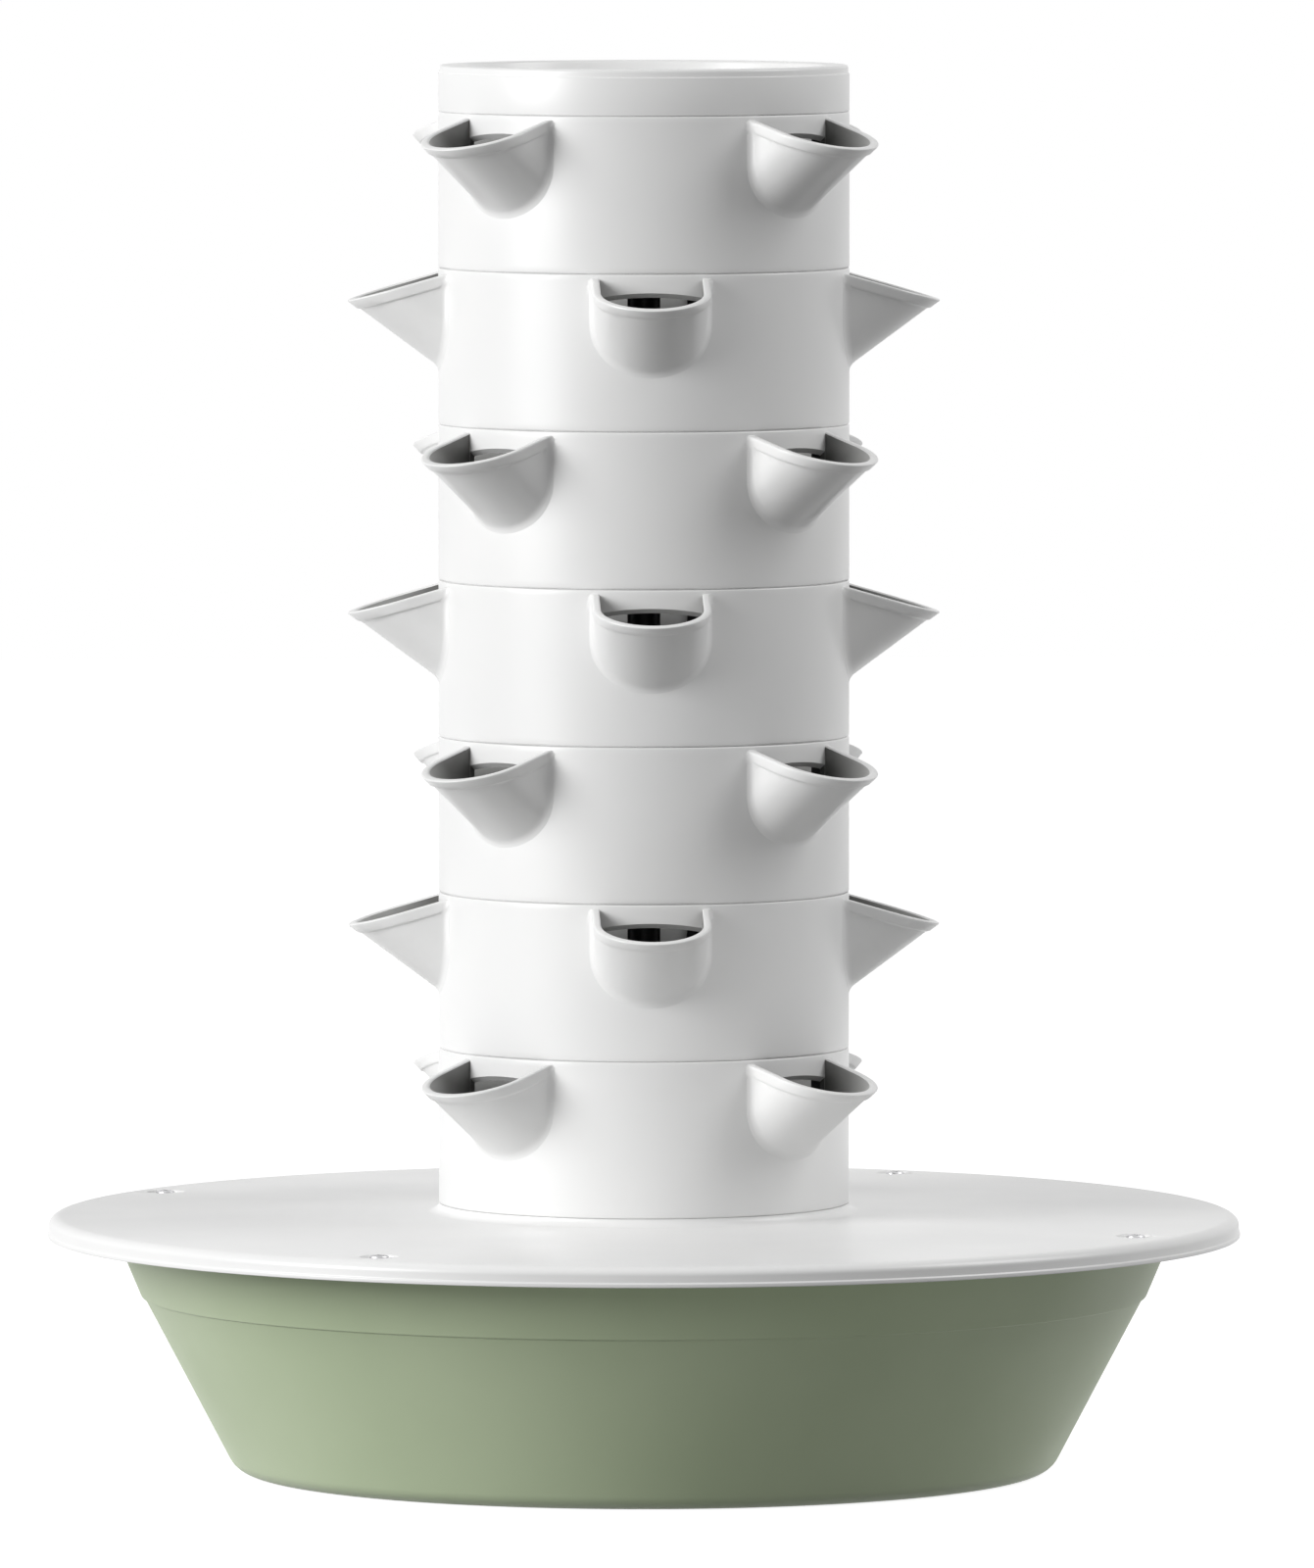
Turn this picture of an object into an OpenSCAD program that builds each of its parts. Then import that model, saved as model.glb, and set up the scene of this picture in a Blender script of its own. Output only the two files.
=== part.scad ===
// Hydroponic tower. A round water basin with a screwed lid carries a column of seven stacked
// planting tiers. Each tier has four scoop pockets, turned half a step from the tier below,
// where plants stand with their roots in the column. A pump in the basin sends water up a
// riser pipe to a spray disc under the top cap, and it trickles back down inside the column.
// The origin is the centre of the basin's base, +Z is up and the front is -Y.

/* [Column] */
// Outside radius of the planting column
column_r = 100; // [90:1:110]
// Wall of the column
column_wall = 3; // [2.5:0.25:4]
// Height of one planting tier
tier_h = 76; // [74:1:90]
// Number of planting tiers, which the list of nodes follows
tier_count = 7; // [3:1:7]
// How far a spigot reaches down into the piece below
spigot_len = 8; // [6:0.5:8.5]
// Wall of a spigot
spigot_wall = 3; // [2:0.25:4]
// Radial clearance between a spigot and its socket
spigot_clear = 0.4; // [0.3:0.05:0.5]
// Height of the slope inside a tier, from its spigot to its wall
tier_slope_h = 5; // [4:0.5:8]
// Bevel along the edges of the column pieces
edge_break = 0.5; // [0.3:0.1:1]

/* [Pockets] */
// Pockets round one tier
pocket_count = 4; // [3:1:4]
// Half width of a pocket outside
pocket_half_w = 27.6; // [26:0.2:29]
// Depth of the pocket's rounded floor, square to its slope
pocket_round = 22; // [19:0.5:24]
// Wall of a pocket
pocket_wall = 2.8; // [2.2:0.2:3.2]
// Slope of the pocket's floor
pocket_tilt = 36.5; // [34:0.5:40]
// Drop from the tier's top edge to where the pocket's floor meets the column
pocket_drop = 48; // [46:0.5:52]
// Drop from the tier's top edge to where the pocket's mouth meets the column
mouth_drop = 3; // [2:0.5:4]
// Outward fall of the mouth
mouth_fall = 16; // [12:0.5:20]
// How far the lip round the mouth stands proud of the pocket
lip_proud = 0.8; // [0.4:0.1:1.2]
// Depth of the lip
lip_depth = 5.4; // [4:0.2:7]
// Drop from the tier's top edge to the opening through the column's wall
window_drop = 9; // [8.8:0.1:11]

/* [Basin] */
// Radius that the basin's sloping side would have at the ground
basin_base_r = 198.7; // [190:0.5:205]
// Outward run of the band between the step and the basin's neck
band_run = 14.5; // [12:0.5:17]
// Height of the step
basin_step_z = 86; // [70:1:95]
// How far the band above the step stands proud
basin_step_w = 1.2; // [0.6:0.2:2]
// Height of the basin up to its flange
basin_h = 117.5; // [110:0.5:130]
// Wall of the basin
basin_wall = 3; // [2.5:0.25:4]
// Radius of the round between the basin's floor and side
basin_round = 9.4; // [6:0.2:12]
// Width of the basin's flange
flange_w = 25.5; // [25:0.5:29]
// Thickness of the basin's flange
flange_t = 3.5; // [2.5:0.5:5]

/* [Lid] */
// Radius of the lid
lid_r = 291; // [289:0.5:300]
// Thickness of the lid at its centre
lid_t = 4.8; // [4:0.2:6]
// Fall of the lid's top from the column to the rim
lid_fall = 1.9; // [1:0.1:2.4]
// Height of the skirt below the lid's plate
lid_skirt_h = 7.2; // [5:0.2:12]
// Wall of the lid's skirt
lid_skirt_t = 3; // [2.5:0.25:4]
// Room between the lid's skirt and the basin's flange
skirt_gap = 4; // [2:0.5:6]
// Width of the rounded edge of the lid
lid_edge_w = 7; // [5:0.5:9]
// Height of the rounded edge of the lid
lid_edge_h = 4.6; // [3:0.2:6]
// How far the bead along the skirt's foot stands proud
skirt_bead_w = 0.6; // [0.3:0.1:1]
// Height of the bead along the skirt's foot
skirt_bead_h = 2.4; // [1.5:0.1:3]
// Height of the collar that carries the column
collar_h = 4; // [3:0.5:8]
// Width of the flare round the collar
collar_flare = 5.5; // [3:0.5:8]
// Thickness of the ledge below the collar's socket
ledge_t = 3; // [2:0.5:5]
// Width of the ledge below the collar's socket
ledge_w = 9; // [6:0.5:14]
// Stiffening ribs under the lid
rib_count = 8; // [4:2:12]
// Thickness of a rib
rib_t = 2.4; // [2:0.2:4]
// Depth of a rib below the lid
rib_h = 5; // [3:0.5:8]
// Thickness of the gasket between the lid and the basin
gasket_t = 1.2; // [0.8:0.1:2]
// Width of the gasket
gasket_w = 6; // [4:0.5:8]

/* [Lid fasteners and grommet] */
// Distance of the screws outside the gasket
screw_out = 3.5; // [3:0.25:5]
// Turn of the first screw from the front
screw_turn = -30; // [-40:1:-20]
// Number of screws
screw_count = 4; // [3:1:6]
// Radius of a screw's thread
screw_r = 2; // [1.5:0.25:2.5]
// Radius of a screw's head
screw_head_r = 4.6; // [4:0.1:6]
// Height of a screw's head
screw_head_h = 1.8; // [1.2:0.1:2.4]
// Length of a screw below its head
screw_len = 10; // [8:0.5:11]
// Radius of the dished seat round a screw
screw_seat_r = 9; // [7:0.5:10]
// Depth of the flat seats in the lid
seat_drop = 1.2; // [0.8:0.1:1.6]
// Radius of a screw boss under the flange
screw_boss_r = 6; // [5:0.5:8]
// Height of a screw boss under the flange
screw_boss_h = 2; // [1:0.5:2.5]
// Radial clearance of a screw in the lid
screw_clear = 0.4; // [0.2:0.1:0.8]
// Radial clearance of pieces that are pushed together
push_clear = 0.05; // [0.02:0.01:0.1]
// Distance of the cable grommet inside the basin's neck, at the back
grommet_in = 28.5; // [22:0.5:80]
// Radius of the grommet's bore
grommet_bore_r = 4.5; // [3:0.25:5]
// Radius of the grommet's waist
grommet_waist_r = 8; // [7:0.25:10]
// Radius of the grommet's flanges
grommet_flange_r = 11; // [10:0.5:14]
// Thickness of each grommet flange
grommet_flange_t = 1.8; // [1.2:0.2:3]

/* [Cap and spray disc] */
// Height of the cap above the top tier
cap_h = 22.5; // [20:0.5:30]
// Room between the column's bore and the floor of the cap's dish
dish_gap = 11; // [9:0.5:17]
// Depth of the cap's dish
dish_depth = 10.5; // [8:0.5:12]
// Outward lean of the dish's side
dish_lean = 1.5; // [0.5:0.25:2]
// Thickness of the cap's plates
cap_t = 2.5; // [2:0.25:3]
// Depth of the narrower band round the cap's top
cap_band_h = 3.8; // [2:0.2:6]
// How much narrower that band is
cap_band_w = 0.6; // [0.3:0.1:1]
// Length of the finger bar in the dish
bar_len = 76; // [50:1:120]
// Width of the finger bar
bar_w = 9; // [6:0.5:14]
// Height of the finger bar
bar_h = 8; // [6:0.5:9]
// Room between the cap's spigot and the spray disc
spray_gap = 7.6; // [5.6:0.5:13.6]
// Drop from the cap's shoulder to the spray disc's floor
spray_drop = 11; // [10:0.5:12]
// Thickness of the spray disc
spray_t = 2; // [1.5:0.25:3]
// Height of the spray disc's rim and collar
spray_rim_h = 6; // [4:0.5:8]
// Room between the riser and the spray disc's collar
collar_gap = 8; // [6:0.5:12]
// Drip holes round the spray disc
drip_count = 16; // [8:4:24]
// Radius of a drip hole
drip_r = 1.6; // [1:0.1:2.4]
// Posts that hang the spray disc from the cap
post_count = 3; // [3:1:4]
// Radius of a post
post_r = 3.5; // [2.5:0.25:5]
// Distance of the posts inside the spray disc's edge
post_in = 26; // [16:1:46]

/* [Riser] */
// Outside radius of the riser pipe
riser_r = 8; // [7.5:0.25:9]
// Wall of the riser pipe
riser_wall = 1.5; // [1:0.25:1.5]
// Share of the riser's length in its lower pipe
riser_split = 0.5; // [0.4:0.05:0.6]
// Length of the pipe coupler
coupler_len = 32; // [20:1:50]
// Wall of the coupler
sleeve_wall = 3; // [2:0.25:4]

/* [Pump] */
// Width of the pump
pump_w = 64; // [56:1:80]
// Length of the pump's body behind its cover
pump_len = 48; // [46:1:60]
// Height of the pump's body
pump_h = 46; // [42:1:56]
// Radius of the impeller's chamber
chamber_r = 18; // [16:0.5:20]
// Length of the impeller's chamber
chamber_len = 13; // [11:0.5:14]
// Radius of the rotor magnet
rotor_r = 9; // [7:0.25:10]
// Length of the rotor magnet
rotor_len = 25; // [20:1:26]
// Running gap round the impeller and the rotor
rotor_gap = 0.6; // [0.4:0.1:1]
// Radius of the ceramic shaft
shaft_r = 1.5; // [1:0.25:2]
// Length of the shaft held at each end
shaft_hold = 3; // [2:0.5:4]
// Blades on the impeller
blade_count = 6; // [4:1:8]
// Thickness of a blade
blade_t = 1.6; // [1:0.2:2.4]
// Radius of the intake hole
intake_r = 10; // [8:0.5:12]
// Depth of the pump's cover
cover_len = 12; // [10:0.5:16]
// Wall of the pump's cover
cover_wall = 2; // [1.5:0.25:3]
// Clearance all round the foam filter in the cover
filter_clear = 0.4; // [0.2:0.1:0.8]
// Slots in the pump's cover
grille_slots = 7; // [3:2:9]
// Width of a slot in the cover
grille_slot_w = 3; // [2:0.25:3.5]
// Height of the pump's suction feet
foot_h = 6; // [4:0.5:9]
// Radius of a suction foot
foot_r = 7; // [5:0.5:9]
// Radius of the bore of the outlet
outlet_bore_r = 4.5; // [3:0.25:5]
// Height of the outlet stub on the pump
outlet_stub_h = 11; // [8:0.5:16]
// Length of the adapter's plug inside the riser
plug_len = 18; // [12:1:24]

/* [Hidden] */
$fn = 96;
// Straight pieces of a pocket's rounded floor and of a short arc
floor_steps = 20;
arc_steps = 6;
// Small overlap that makes two drawn solids one, and a length past any cut
merge = 0.5;
reach = 80;

column_in_r = column_r - column_wall;
spigot_r = column_in_r - spigot_clear;
spigot_in_r = spigot_r - spigot_wall;
dish_r = column_in_r - dish_gap;
spray_r = spigot_in_r - spray_gap;
post_pcr = spray_r - post_in;

flange_r = lid_r - lid_skirt_t - skirt_gap;
basin_neck_r = flange_r - flange_w;
basin_step_r = basin_neck_r - band_run;
screw_pcr = basin_neck_r + gasket_w + screw_out;
grommet_y = basin_neck_r - grommet_in;

flange_top = basin_h + flange_t;
plate_z = flange_top + gasket_t;
lid_top = plate_z + lid_t;
collar_top = lid_top + collar_h;
skirt_z = plate_z - lid_skirt_h;
stack_top = collar_top + tier_count * tier_h;
cap_top = stack_top + cap_h;
dish_z = cap_top - dish_depth;
spray_z = stack_top - spray_drop;

// The pocket's centre line crosses the column's surface at this drop, and the opening through
// the wall ends at this height above the centre line, square to the slope
axis_drop = pocket_drop - pocket_round / cos(pocket_tilt);
window_top = (axis_drop - window_drop) * cos(pocket_tilt);
channel_half_w = pocket_half_w - pocket_wall;
channel_round = pocket_round - pocket_wall;

riser_foot = basin_wall + foot_h + pump_h + outlet_stub_h + cover_wall;
riser_top = stack_top - merge;
riser_joint = riser_foot + riser_split * (riser_top - riser_foot);
riser_in_r = riser_r - riser_wall;

pump_z = basin_wall + foot_h;
shaft_z = pump_z + pump_h / 2;
chamber_y = chamber_len / 2;
stub_r = riser_in_r - merge;
shaft_front = -chamber_y - cover_wall;
shaft_back = chamber_y + rotor_len + rotor_gap + shaft_hold;

TIERS = [for (t = [1:tier_count]) str("tier_", t)];

// Points of an arc about (x, y)
function arc(x, y, rx, ry, from, to, steps = arc_steps) =
    [for (i = [0:steps]) let (a = from + (to - from) * i / steps) [x + rx * cos(a), y + ry * sin(a)]];

// Height of the lid's gently sloping top at a radius
function lid_z(r) =
    lid_top - lid_fall * (r - column_r - collar_flare) / (lid_r - lid_edge_w - column_r - collar_flare);

// Outline of a trough: a rounded floor with straight sides up to a height
function trough(half_w, round, top) =
    concat(arc(0, 0, half_w, round, 180, 360, floor_steps), [[half_w, top], [-half_w, top]]);

// Turn of a pocket from the front; odd tiers are turned half a step
function pocket_turn(t, p) = 360 / pocket_count * (p - 1 - (t % 2) / 2);

// Height of a tier's foot
function tier_z(t) = collar_top + (t - 1) * tier_h;

// A ring between two heights
module ring(r_out, r_in, low, high) {
    difference() {
        translate([0, 0, low]) cylinder(r = r_out, h = high - low);
        translate([0, 0, low - merge]) cylinder(r = r_in, h = high - low + 2 * merge);
    }
}

// Children facing +X turned to face an angle from the front
module facing(turn) {
    rotate([0, 0, turn - 90]) children();
}

// Children at a place on the pump's axis, which runs back along +Y
module on_shaft(y) {
    translate([0, y, shaft_z]) rotate([-90, 0, 0]) children();
}

module basin() {
    lean = atan((basin_step_r - basin_base_r) / basin_step_z);
    band_r = basin_step_r + basin_step_w;
    flat_r = basin_base_r - basin_round * tan((90 - lean) / 2);
    in_round = basin_round - basin_wall;
    color([0.57, 0.63, 0.50]) difference() {
        union() {
            rotate_extrude($fn = 180) polygon(concat(
                [[0, 0]],
                arc(flat_r, basin_round, basin_round, basin_round, -90, -lean),
                [[basin_step_r, basin_step_z], [band_r, basin_step_z], [basin_neck_r, basin_h],
                 [flange_r, basin_h], [flange_r, flange_top],
                 [basin_neck_r - basin_wall, flange_top], [basin_neck_r - basin_wall, basin_h],
                 [band_r - basin_wall, basin_step_z], [basin_step_r - basin_wall, basin_step_z]],
                arc(flat_r, basin_round, in_round, in_round, -lean, -90),
                [[0, basin_wall]]));
            screw_places() translate([0, 0, basin_h - screw_boss_h])
                cylinder(r = screw_boss_r, h = screw_boss_h + merge);
        }
        screw_places() translate([0, 0, basin_h - screw_boss_h - merge])
            cylinder(r = screw_r + push_clear, h = screw_boss_h + flange_t + 2 * merge);
    }
}

module screw_places() {
    for (i = [0:screw_count - 1])
        facing(screw_turn + 360 / screw_count * i) translate([screw_pcr, 0, 0]) children();
}

module lid() {
    rim_r = lid_r - skirt_bead_w;
    flat_r = lid_r - lid_edge_w;
    ledge_r = column_in_r - ledge_w;
    socket_z = collar_top - spigot_len - spigot_clear;
    color("whitesmoke") difference() {
        union() {
            rotate_extrude($fn = 180) polygon(concat(
                [[column_in_r, collar_top]],
                arc(column_r + collar_flare, collar_top, collar_flare, collar_h, 180, 270),
                arc(flat_r, lid_top - lid_fall - lid_edge_h, lid_edge_w - skirt_bead_w, lid_edge_h, 90, 0),
                [[rim_r, skirt_z + skirt_bead_h], [lid_r, skirt_z + skirt_bead_h - skirt_bead_w],
                 [lid_r, skirt_z], [lid_r - lid_skirt_t, skirt_z], [lid_r - lid_skirt_t, plate_z],
                 [column_r, plate_z], [column_r, socket_z - ledge_t], [ledge_r, socket_z - ledge_t],
                 [ledge_r, socket_z], [column_in_r, socket_z]]));
            for (i = [0:rib_count - 1])
                facing(180 / rib_count + 360 / rib_count * i)
                    translate([column_r - merge, -rib_t / 2, plate_z - rib_h])
                        cube([basin_neck_r - 2 * basin_wall - column_r, rib_t, rib_h + merge]);
        }
        screw_places() translate([0, 0, plate_z - merge])
            cylinder(r = screw_r + screw_clear, h = lid_t + 2 * merge);
        screw_places() translate([0, 0, lid_z(screw_pcr) - seat_drop])
            cylinder(r = screw_seat_r, h = lid_t);
        translate([0, grommet_y, plate_z - rib_h]) cylinder(r = grommet_waist_r + push_clear, h = lid_t + rib_h);
        translate([0, grommet_y, lid_z(grommet_y) - seat_drop])
            cylinder(r = grommet_flange_r + screw_clear, h = lid_t);
    }
}

module lid_gasket() {
    color([0.15, 0.15, 0.15])
        ring(basin_neck_r + gasket_w, basin_neck_r, flange_top, plate_z);
}

module lid_screws() {
    head_z = lid_z(screw_pcr) - seat_drop;
    drive_r = screw_head_r * 0.6;
    color("silver") screw_places() difference() {
        union() {
            translate([0, 0, head_z]) cylinder(r = screw_head_r, h = screw_head_h);
            translate([0, 0, head_z - screw_len]) cylinder(r = screw_r, h = screw_len + merge);
        }
        for (turn = [0, 90])
            rotate([0, 0, turn]) translate([-drive_r, -screw_r / 4, head_z + screw_head_h / 2])
                cube([2 * drive_r, screw_r / 2, screw_head_h]);
    }
}

module cable_grommet() {
    seat_z = lid_z(grommet_y) - seat_drop;
    color([0.12, 0.12, 0.12]) translate([0, grommet_y, 0]) difference() {
        union() {
            translate([0, 0, seat_z]) cylinder(r = grommet_flange_r, h = grommet_flange_t);
            translate([0, 0, plate_z - merge]) cylinder(r = grommet_waist_r, h = seat_z - plate_z + 2 * merge);
            translate([0, 0, plate_z - grommet_flange_t])
                cylinder(r = grommet_flange_r, h = grommet_flange_t);
        }
        translate([0, 0, plate_z - 2 * grommet_flange_t])
            cylinder(r = grommet_bore_r, h = lid_t + 4 * grommet_flange_t);
    }
}

// A slab that lies along the pocket's mouth, from a depth below it up to a depth
module mouth_slab(low, high) {
    translate([column_r, 0, -mouth_drop]) rotate([0, mouth_fall, 0])
        translate([-reach / 2, -reach / 2, -low]) cube([2 * reach, reach, low - high]);
}

// A trough that runs outward along the pocket's slope. Its outline is drawn square to the slope,
// round the pocket's centre line, which crosses the column's surface at axis_drop
module trough_solid(half_w, round, top) {
    translate([column_r, 0, -axis_drop]) rotate([0, -pocket_tilt, 0]) rotate([90, 0, 90])
        translate([0, 0, -reach / 2])
            linear_extrude(height = 3 / 2 * reach) polygon(trough(half_w, round, top));
}

// What stands inside the column's wall is left off a pocket
module outside_column(r) {
    difference() {
        children();
        translate([0, 0, -reach]) cylinder(r = r, h = 2 * reach);
    }
}

module pocket_body() {
    outside_column(column_in_r + merge) intersection() {
        difference() {
            union() {
                trough_solid(pocket_half_w, pocket_round, reach);
                intersection() {
                    trough_solid(pocket_half_w + lip_proud, pocket_round + lip_proud, reach);
                    mouth_slab(lip_depth, 0);
                }
            }
            trough_solid(channel_half_w, channel_round, reach);
        }
        mouth_slab(reach, 0);
    }
}

// The opening through the column's wall behind a pocket
module pocket_window() {
    intersection() {
        trough_solid(channel_half_w, channel_round, window_top);
        translate([0, 0, -reach]) cylinder(r = column_r + merge, h = 2 * reach);
    }
}

module at_pockets(t) {
    for (p = [1:pocket_count]) facing(pocket_turn(t, p)) translate([0, 0, tier_h]) children();
}

module tier(t) {
    color("white") translate([0, 0, tier_z(t)]) difference() {
        union() {
            rotate_extrude($fn = 180) polygon([
                [spigot_in_r, -spigot_len], [spigot_r, -spigot_len], [spigot_r, 0],
                [column_r - edge_break, 0], [column_r, edge_break],
                [column_r, tier_h - edge_break], [column_r - edge_break, tier_h],
                [column_in_r, tier_h], [column_in_r, tier_slope_h], [spigot_in_r, 0]]);
            at_pockets(t) pocket_body();
        }
        at_pockets(t) pocket_window();
    }
}

module top_cap() {
    band_r = column_r - cap_band_w;
    rim_in_r = dish_r + dish_lean;
    wall_r = rim_in_r + cap_t;
    color("white") {
        rotate_extrude($fn = 180) polygon([
            [spigot_in_r, stack_top - spigot_len], [spigot_r, stack_top - spigot_len],
            [spigot_r, stack_top], [column_r - edge_break, stack_top],
            [column_r, stack_top + edge_break], [column_r, cap_top - cap_band_h],
            [band_r, cap_top - cap_band_h], [band_r, cap_top - 2 * edge_break],
            [band_r - 2 * edge_break, cap_top], [rim_in_r + edge_break, cap_top],
            [rim_in_r, cap_top - edge_break], [dish_r, dish_z], [0, dish_z],
            [0, dish_z - cap_t], [dish_r + cap_t, dish_z - cap_t], [wall_r, cap_top - cap_t],
            [column_in_r, cap_top - cap_t], [column_in_r, stack_top + tier_slope_h],
            [spigot_in_r, stack_top]]);
        translate([-bar_len / 2, -bar_w / 2, dish_z - merge]) cube([bar_len, bar_w, bar_h + merge]);
    }
}

// A shallow pan that hangs from the cap on posts. The riser's end stands in its collar with
// room all round, so the cap lifts off freely
module spray_disc() {
    collar_in_r = riser_r + collar_gap;
    color([0.85, 0.86, 0.86]) difference() {
        union() {
            translate([0, 0, spray_z]) cylinder(r = spray_r, h = spray_t);
            ring(spray_r, spray_r - spray_t, spray_z, spray_z + spray_rim_h);
            ring(collar_in_r + spray_t, collar_in_r, spray_z, spray_z + spray_rim_h);
            for (i = [0:post_count - 1])
                facing(360 / post_count * i) translate([post_pcr, 0, spray_z])
                    cylinder(r = post_r, h = dish_z - cap_t - spray_z);
        }
        translate([0, 0, spray_z - spray_t]) cylinder(r = collar_in_r, h = spray_rim_h);
        for (i = [0:drip_count - 1])
            facing(360 / drip_count * (i + 1 / 2))
                translate([spray_r - spray_t - 3 * drip_r, 0, spray_z - merge])
                    cylinder(r = drip_r, h = spray_t + 2 * merge);
    }
}

module riser_pipe_lower() {
    color([0.08, 0.08, 0.09]) ring(riser_r, riser_in_r, riser_foot, riser_joint);
}

module riser_pipe_upper() {
    color([0.08, 0.08, 0.09]) ring(riser_r, riser_in_r, riser_joint, riser_top);
}

module riser_coupler() {
    color([0.1, 0.1, 0.11]) ring(riser_r + push_clear + sleeve_wall, riser_r + push_clear,
                            riser_joint - coupler_len / 2, riser_joint + coupler_len / 2);
}

module pump_housing() {
    outlet_z = pump_z + pump_h + outlet_stub_h;
    color([0.13, 0.14, 0.15]) difference() {
        union() {
            translate([-pump_w / 2, -chamber_y, pump_z]) cube([pump_w, pump_len, pump_h]);
            translate([0, 0, pump_z + pump_h - merge]) cylinder(r = stub_r, h = outlet_stub_h + merge);
        }
        on_shaft(-chamber_y - merge) cylinder(r = chamber_r, h = chamber_len + merge);
        on_shaft(0) cylinder(r = rotor_r + rotor_gap, h = chamber_y + rotor_len + rotor_gap);
        on_shaft(0) cylinder(r = shaft_r + push_clear, h = shaft_back + push_clear);
        translate([0, 0, shaft_z + chamber_r / 2])
            cylinder(r = outlet_bore_r, h = outlet_z - shaft_z);
        foot_places() translate([0, 0, pump_z - merge])
            cylinder(r = foot_r / 2 + push_clear, h = foot_h / 2 + merge);
    }
}

// The water's way into the impeller: a round hole that three spokes and a shaft hub cross
module pump_intake() {
    on_shaft(shaft_front - merge) difference() {
        cylinder(r = intake_r, h = cover_wall + 2 * merge);
        translate([0, 0, -merge]) cylinder(r = 2 * shaft_r, h = cover_wall + 4 * merge);
        for (turn = [0, 120, 240])
            rotate([0, 0, turn]) translate([0, -shaft_r / 2, -merge])
                cube([2 * intake_r, shaft_r, cover_wall + 4 * merge]);
    }
}

module pump_cover() {
    bars = (grille_slots - 1) / 2;
    box_z = shaft_z - pump_h / 2 + cover_wall;
    box_h = pump_h - 2 * cover_wall;
    color([0.17, 0.18, 0.19]) difference() {
        translate([-pump_w / 2, -chamber_y - cover_len, box_z]) cube([pump_w, cover_len, box_h]);
        translate([cover_wall - pump_w / 2, cover_wall - chamber_y - cover_len, box_z + cover_wall])
            cube([pump_w - 2 * cover_wall, cover_len - 2 * cover_wall, box_h - 2 * cover_wall]);
        for (i = [-bars:bars])
            translate([i * 2 * grille_slot_w - grille_slot_w / 2, -reach, box_z + 3 * cover_wall])
                cube([grille_slot_w, reach - chamber_y - cover_len + 2 * cover_wall, box_h - 6 * cover_wall]);
        pump_intake();
        on_shaft(shaft_front - merge) cylinder(r = shaft_r + push_clear, h = cover_wall + 2 * merge);
    }
}

module pump_filter() {
    side = 2 * cover_wall + filter_clear;
    color([0.25, 0.25, 0.27])
        translate([(side - pump_w) / 2, cover_wall - chamber_y - cover_len, pump_z + side])
            cube([pump_w - side, cover_len - 2 * cover_wall - filter_clear, pump_h - 2 * side]);
}

module pump_impeller() {
    tip_r = chamber_r - rotor_gap;
    disc_y = chamber_y - rotor_gap - blade_t;
    color("dimgray") difference() {
        union() {
            on_shaft(disc_y) cylinder(r = tip_r, h = blade_t);
            on_shaft(rotor_gap - chamber_y) cylinder(r = 3 * shaft_r, h = chamber_len - 2 * rotor_gap);
            on_shaft(disc_y) cylinder(r = rotor_r, h = blade_t + rotor_gap + rotor_len);
            for (i = [0:blade_count - 1])
                on_shaft(rotor_gap - chamber_y) rotate([0, 0, 360 / blade_count * i])
                    translate([shaft_r + merge, -blade_t / 2, 0])
                        cube([tip_r - shaft_r - 2 * merge, blade_t, disc_y + chamber_y]);
        }
        on_shaft(-chamber_len) cylinder(r = shaft_r + 2 * push_clear, h = 2 * chamber_len + rotor_len);
    }
}

module pump_shaft() {
    color("ivory") on_shaft(shaft_front) cylinder(r = shaft_r, h = shaft_back - shaft_front);
}

module foot_places() {
    for (x = [-1, 1], y = [0, 1])
        translate([x * (pump_w / 2 - foot_r), foot_r - chamber_y + y * (pump_len - 2 * foot_r), 0])
            children();
}

module pump_feet() {
    color([0.1, 0.1, 0.1]) foot_places() {
        translate([0, 0, basin_wall]) cylinder(r1 = foot_r, r2 = foot_r / 2, h = foot_h / 2);
        translate([0, 0, basin_wall + foot_h / 4]) cylinder(r = foot_r / 2, h = foot_h * 5 / 4);
    }
}

// A sleeve over the pump's stub with a plug that enters the riser
module pump_outlet() {
    stub_top = pump_z + pump_h + outlet_stub_h;
    color([0.13, 0.14, 0.15]) difference() {
        union() {
            translate([0, 0, pump_z + pump_h]) cylinder(r = riser_r, h = riser_foot - pump_z - pump_h);
            translate([0, 0, riser_foot - merge]) cylinder(r = riser_in_r - 2 * push_clear, h = plug_len + merge);
        }
        translate([0, 0, pump_z]) cylinder(r = stub_r + push_clear, h = stub_top - pump_z);
        translate([0, 0, pump_z]) cylinder(r = outlet_bore_r, h = reach + plug_len);
    }
}

basin();
lid();
lid_gasket();
lid_screws();
cable_grommet();
pump_housing();
pump_cover();
pump_filter();
pump_impeller();
pump_shaft();
pump_feet();
pump_outlet();
riser_pipe_lower();
riser_coupler();
riser_pipe_upper();
top_cap();
spray_disc();
for (t = [1:tier_count]) tier(t);
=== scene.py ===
# %% [markdown]
# # A hydroponic tower
# A hydroponic tower grows plants in a column without soil. A basin holds the water, a pump sends
# it up a thin pipe, a disc under the cap spreads it, and it falls over the roots in seven stacked
# tiers. Each tier is one moulding with four scoop pockets. This notebook dresses the tower's CAD
# model with the shapes and finishes that a camera sees.
# The first cell loads the CAD model as a frame. It could be rebuilt from drawings instead, but the
# frame already says where each part is and how it moves.

# %% The CAD frame
import math

import bmesh
import bpy
from mathutils import Matrix, Vector


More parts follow.
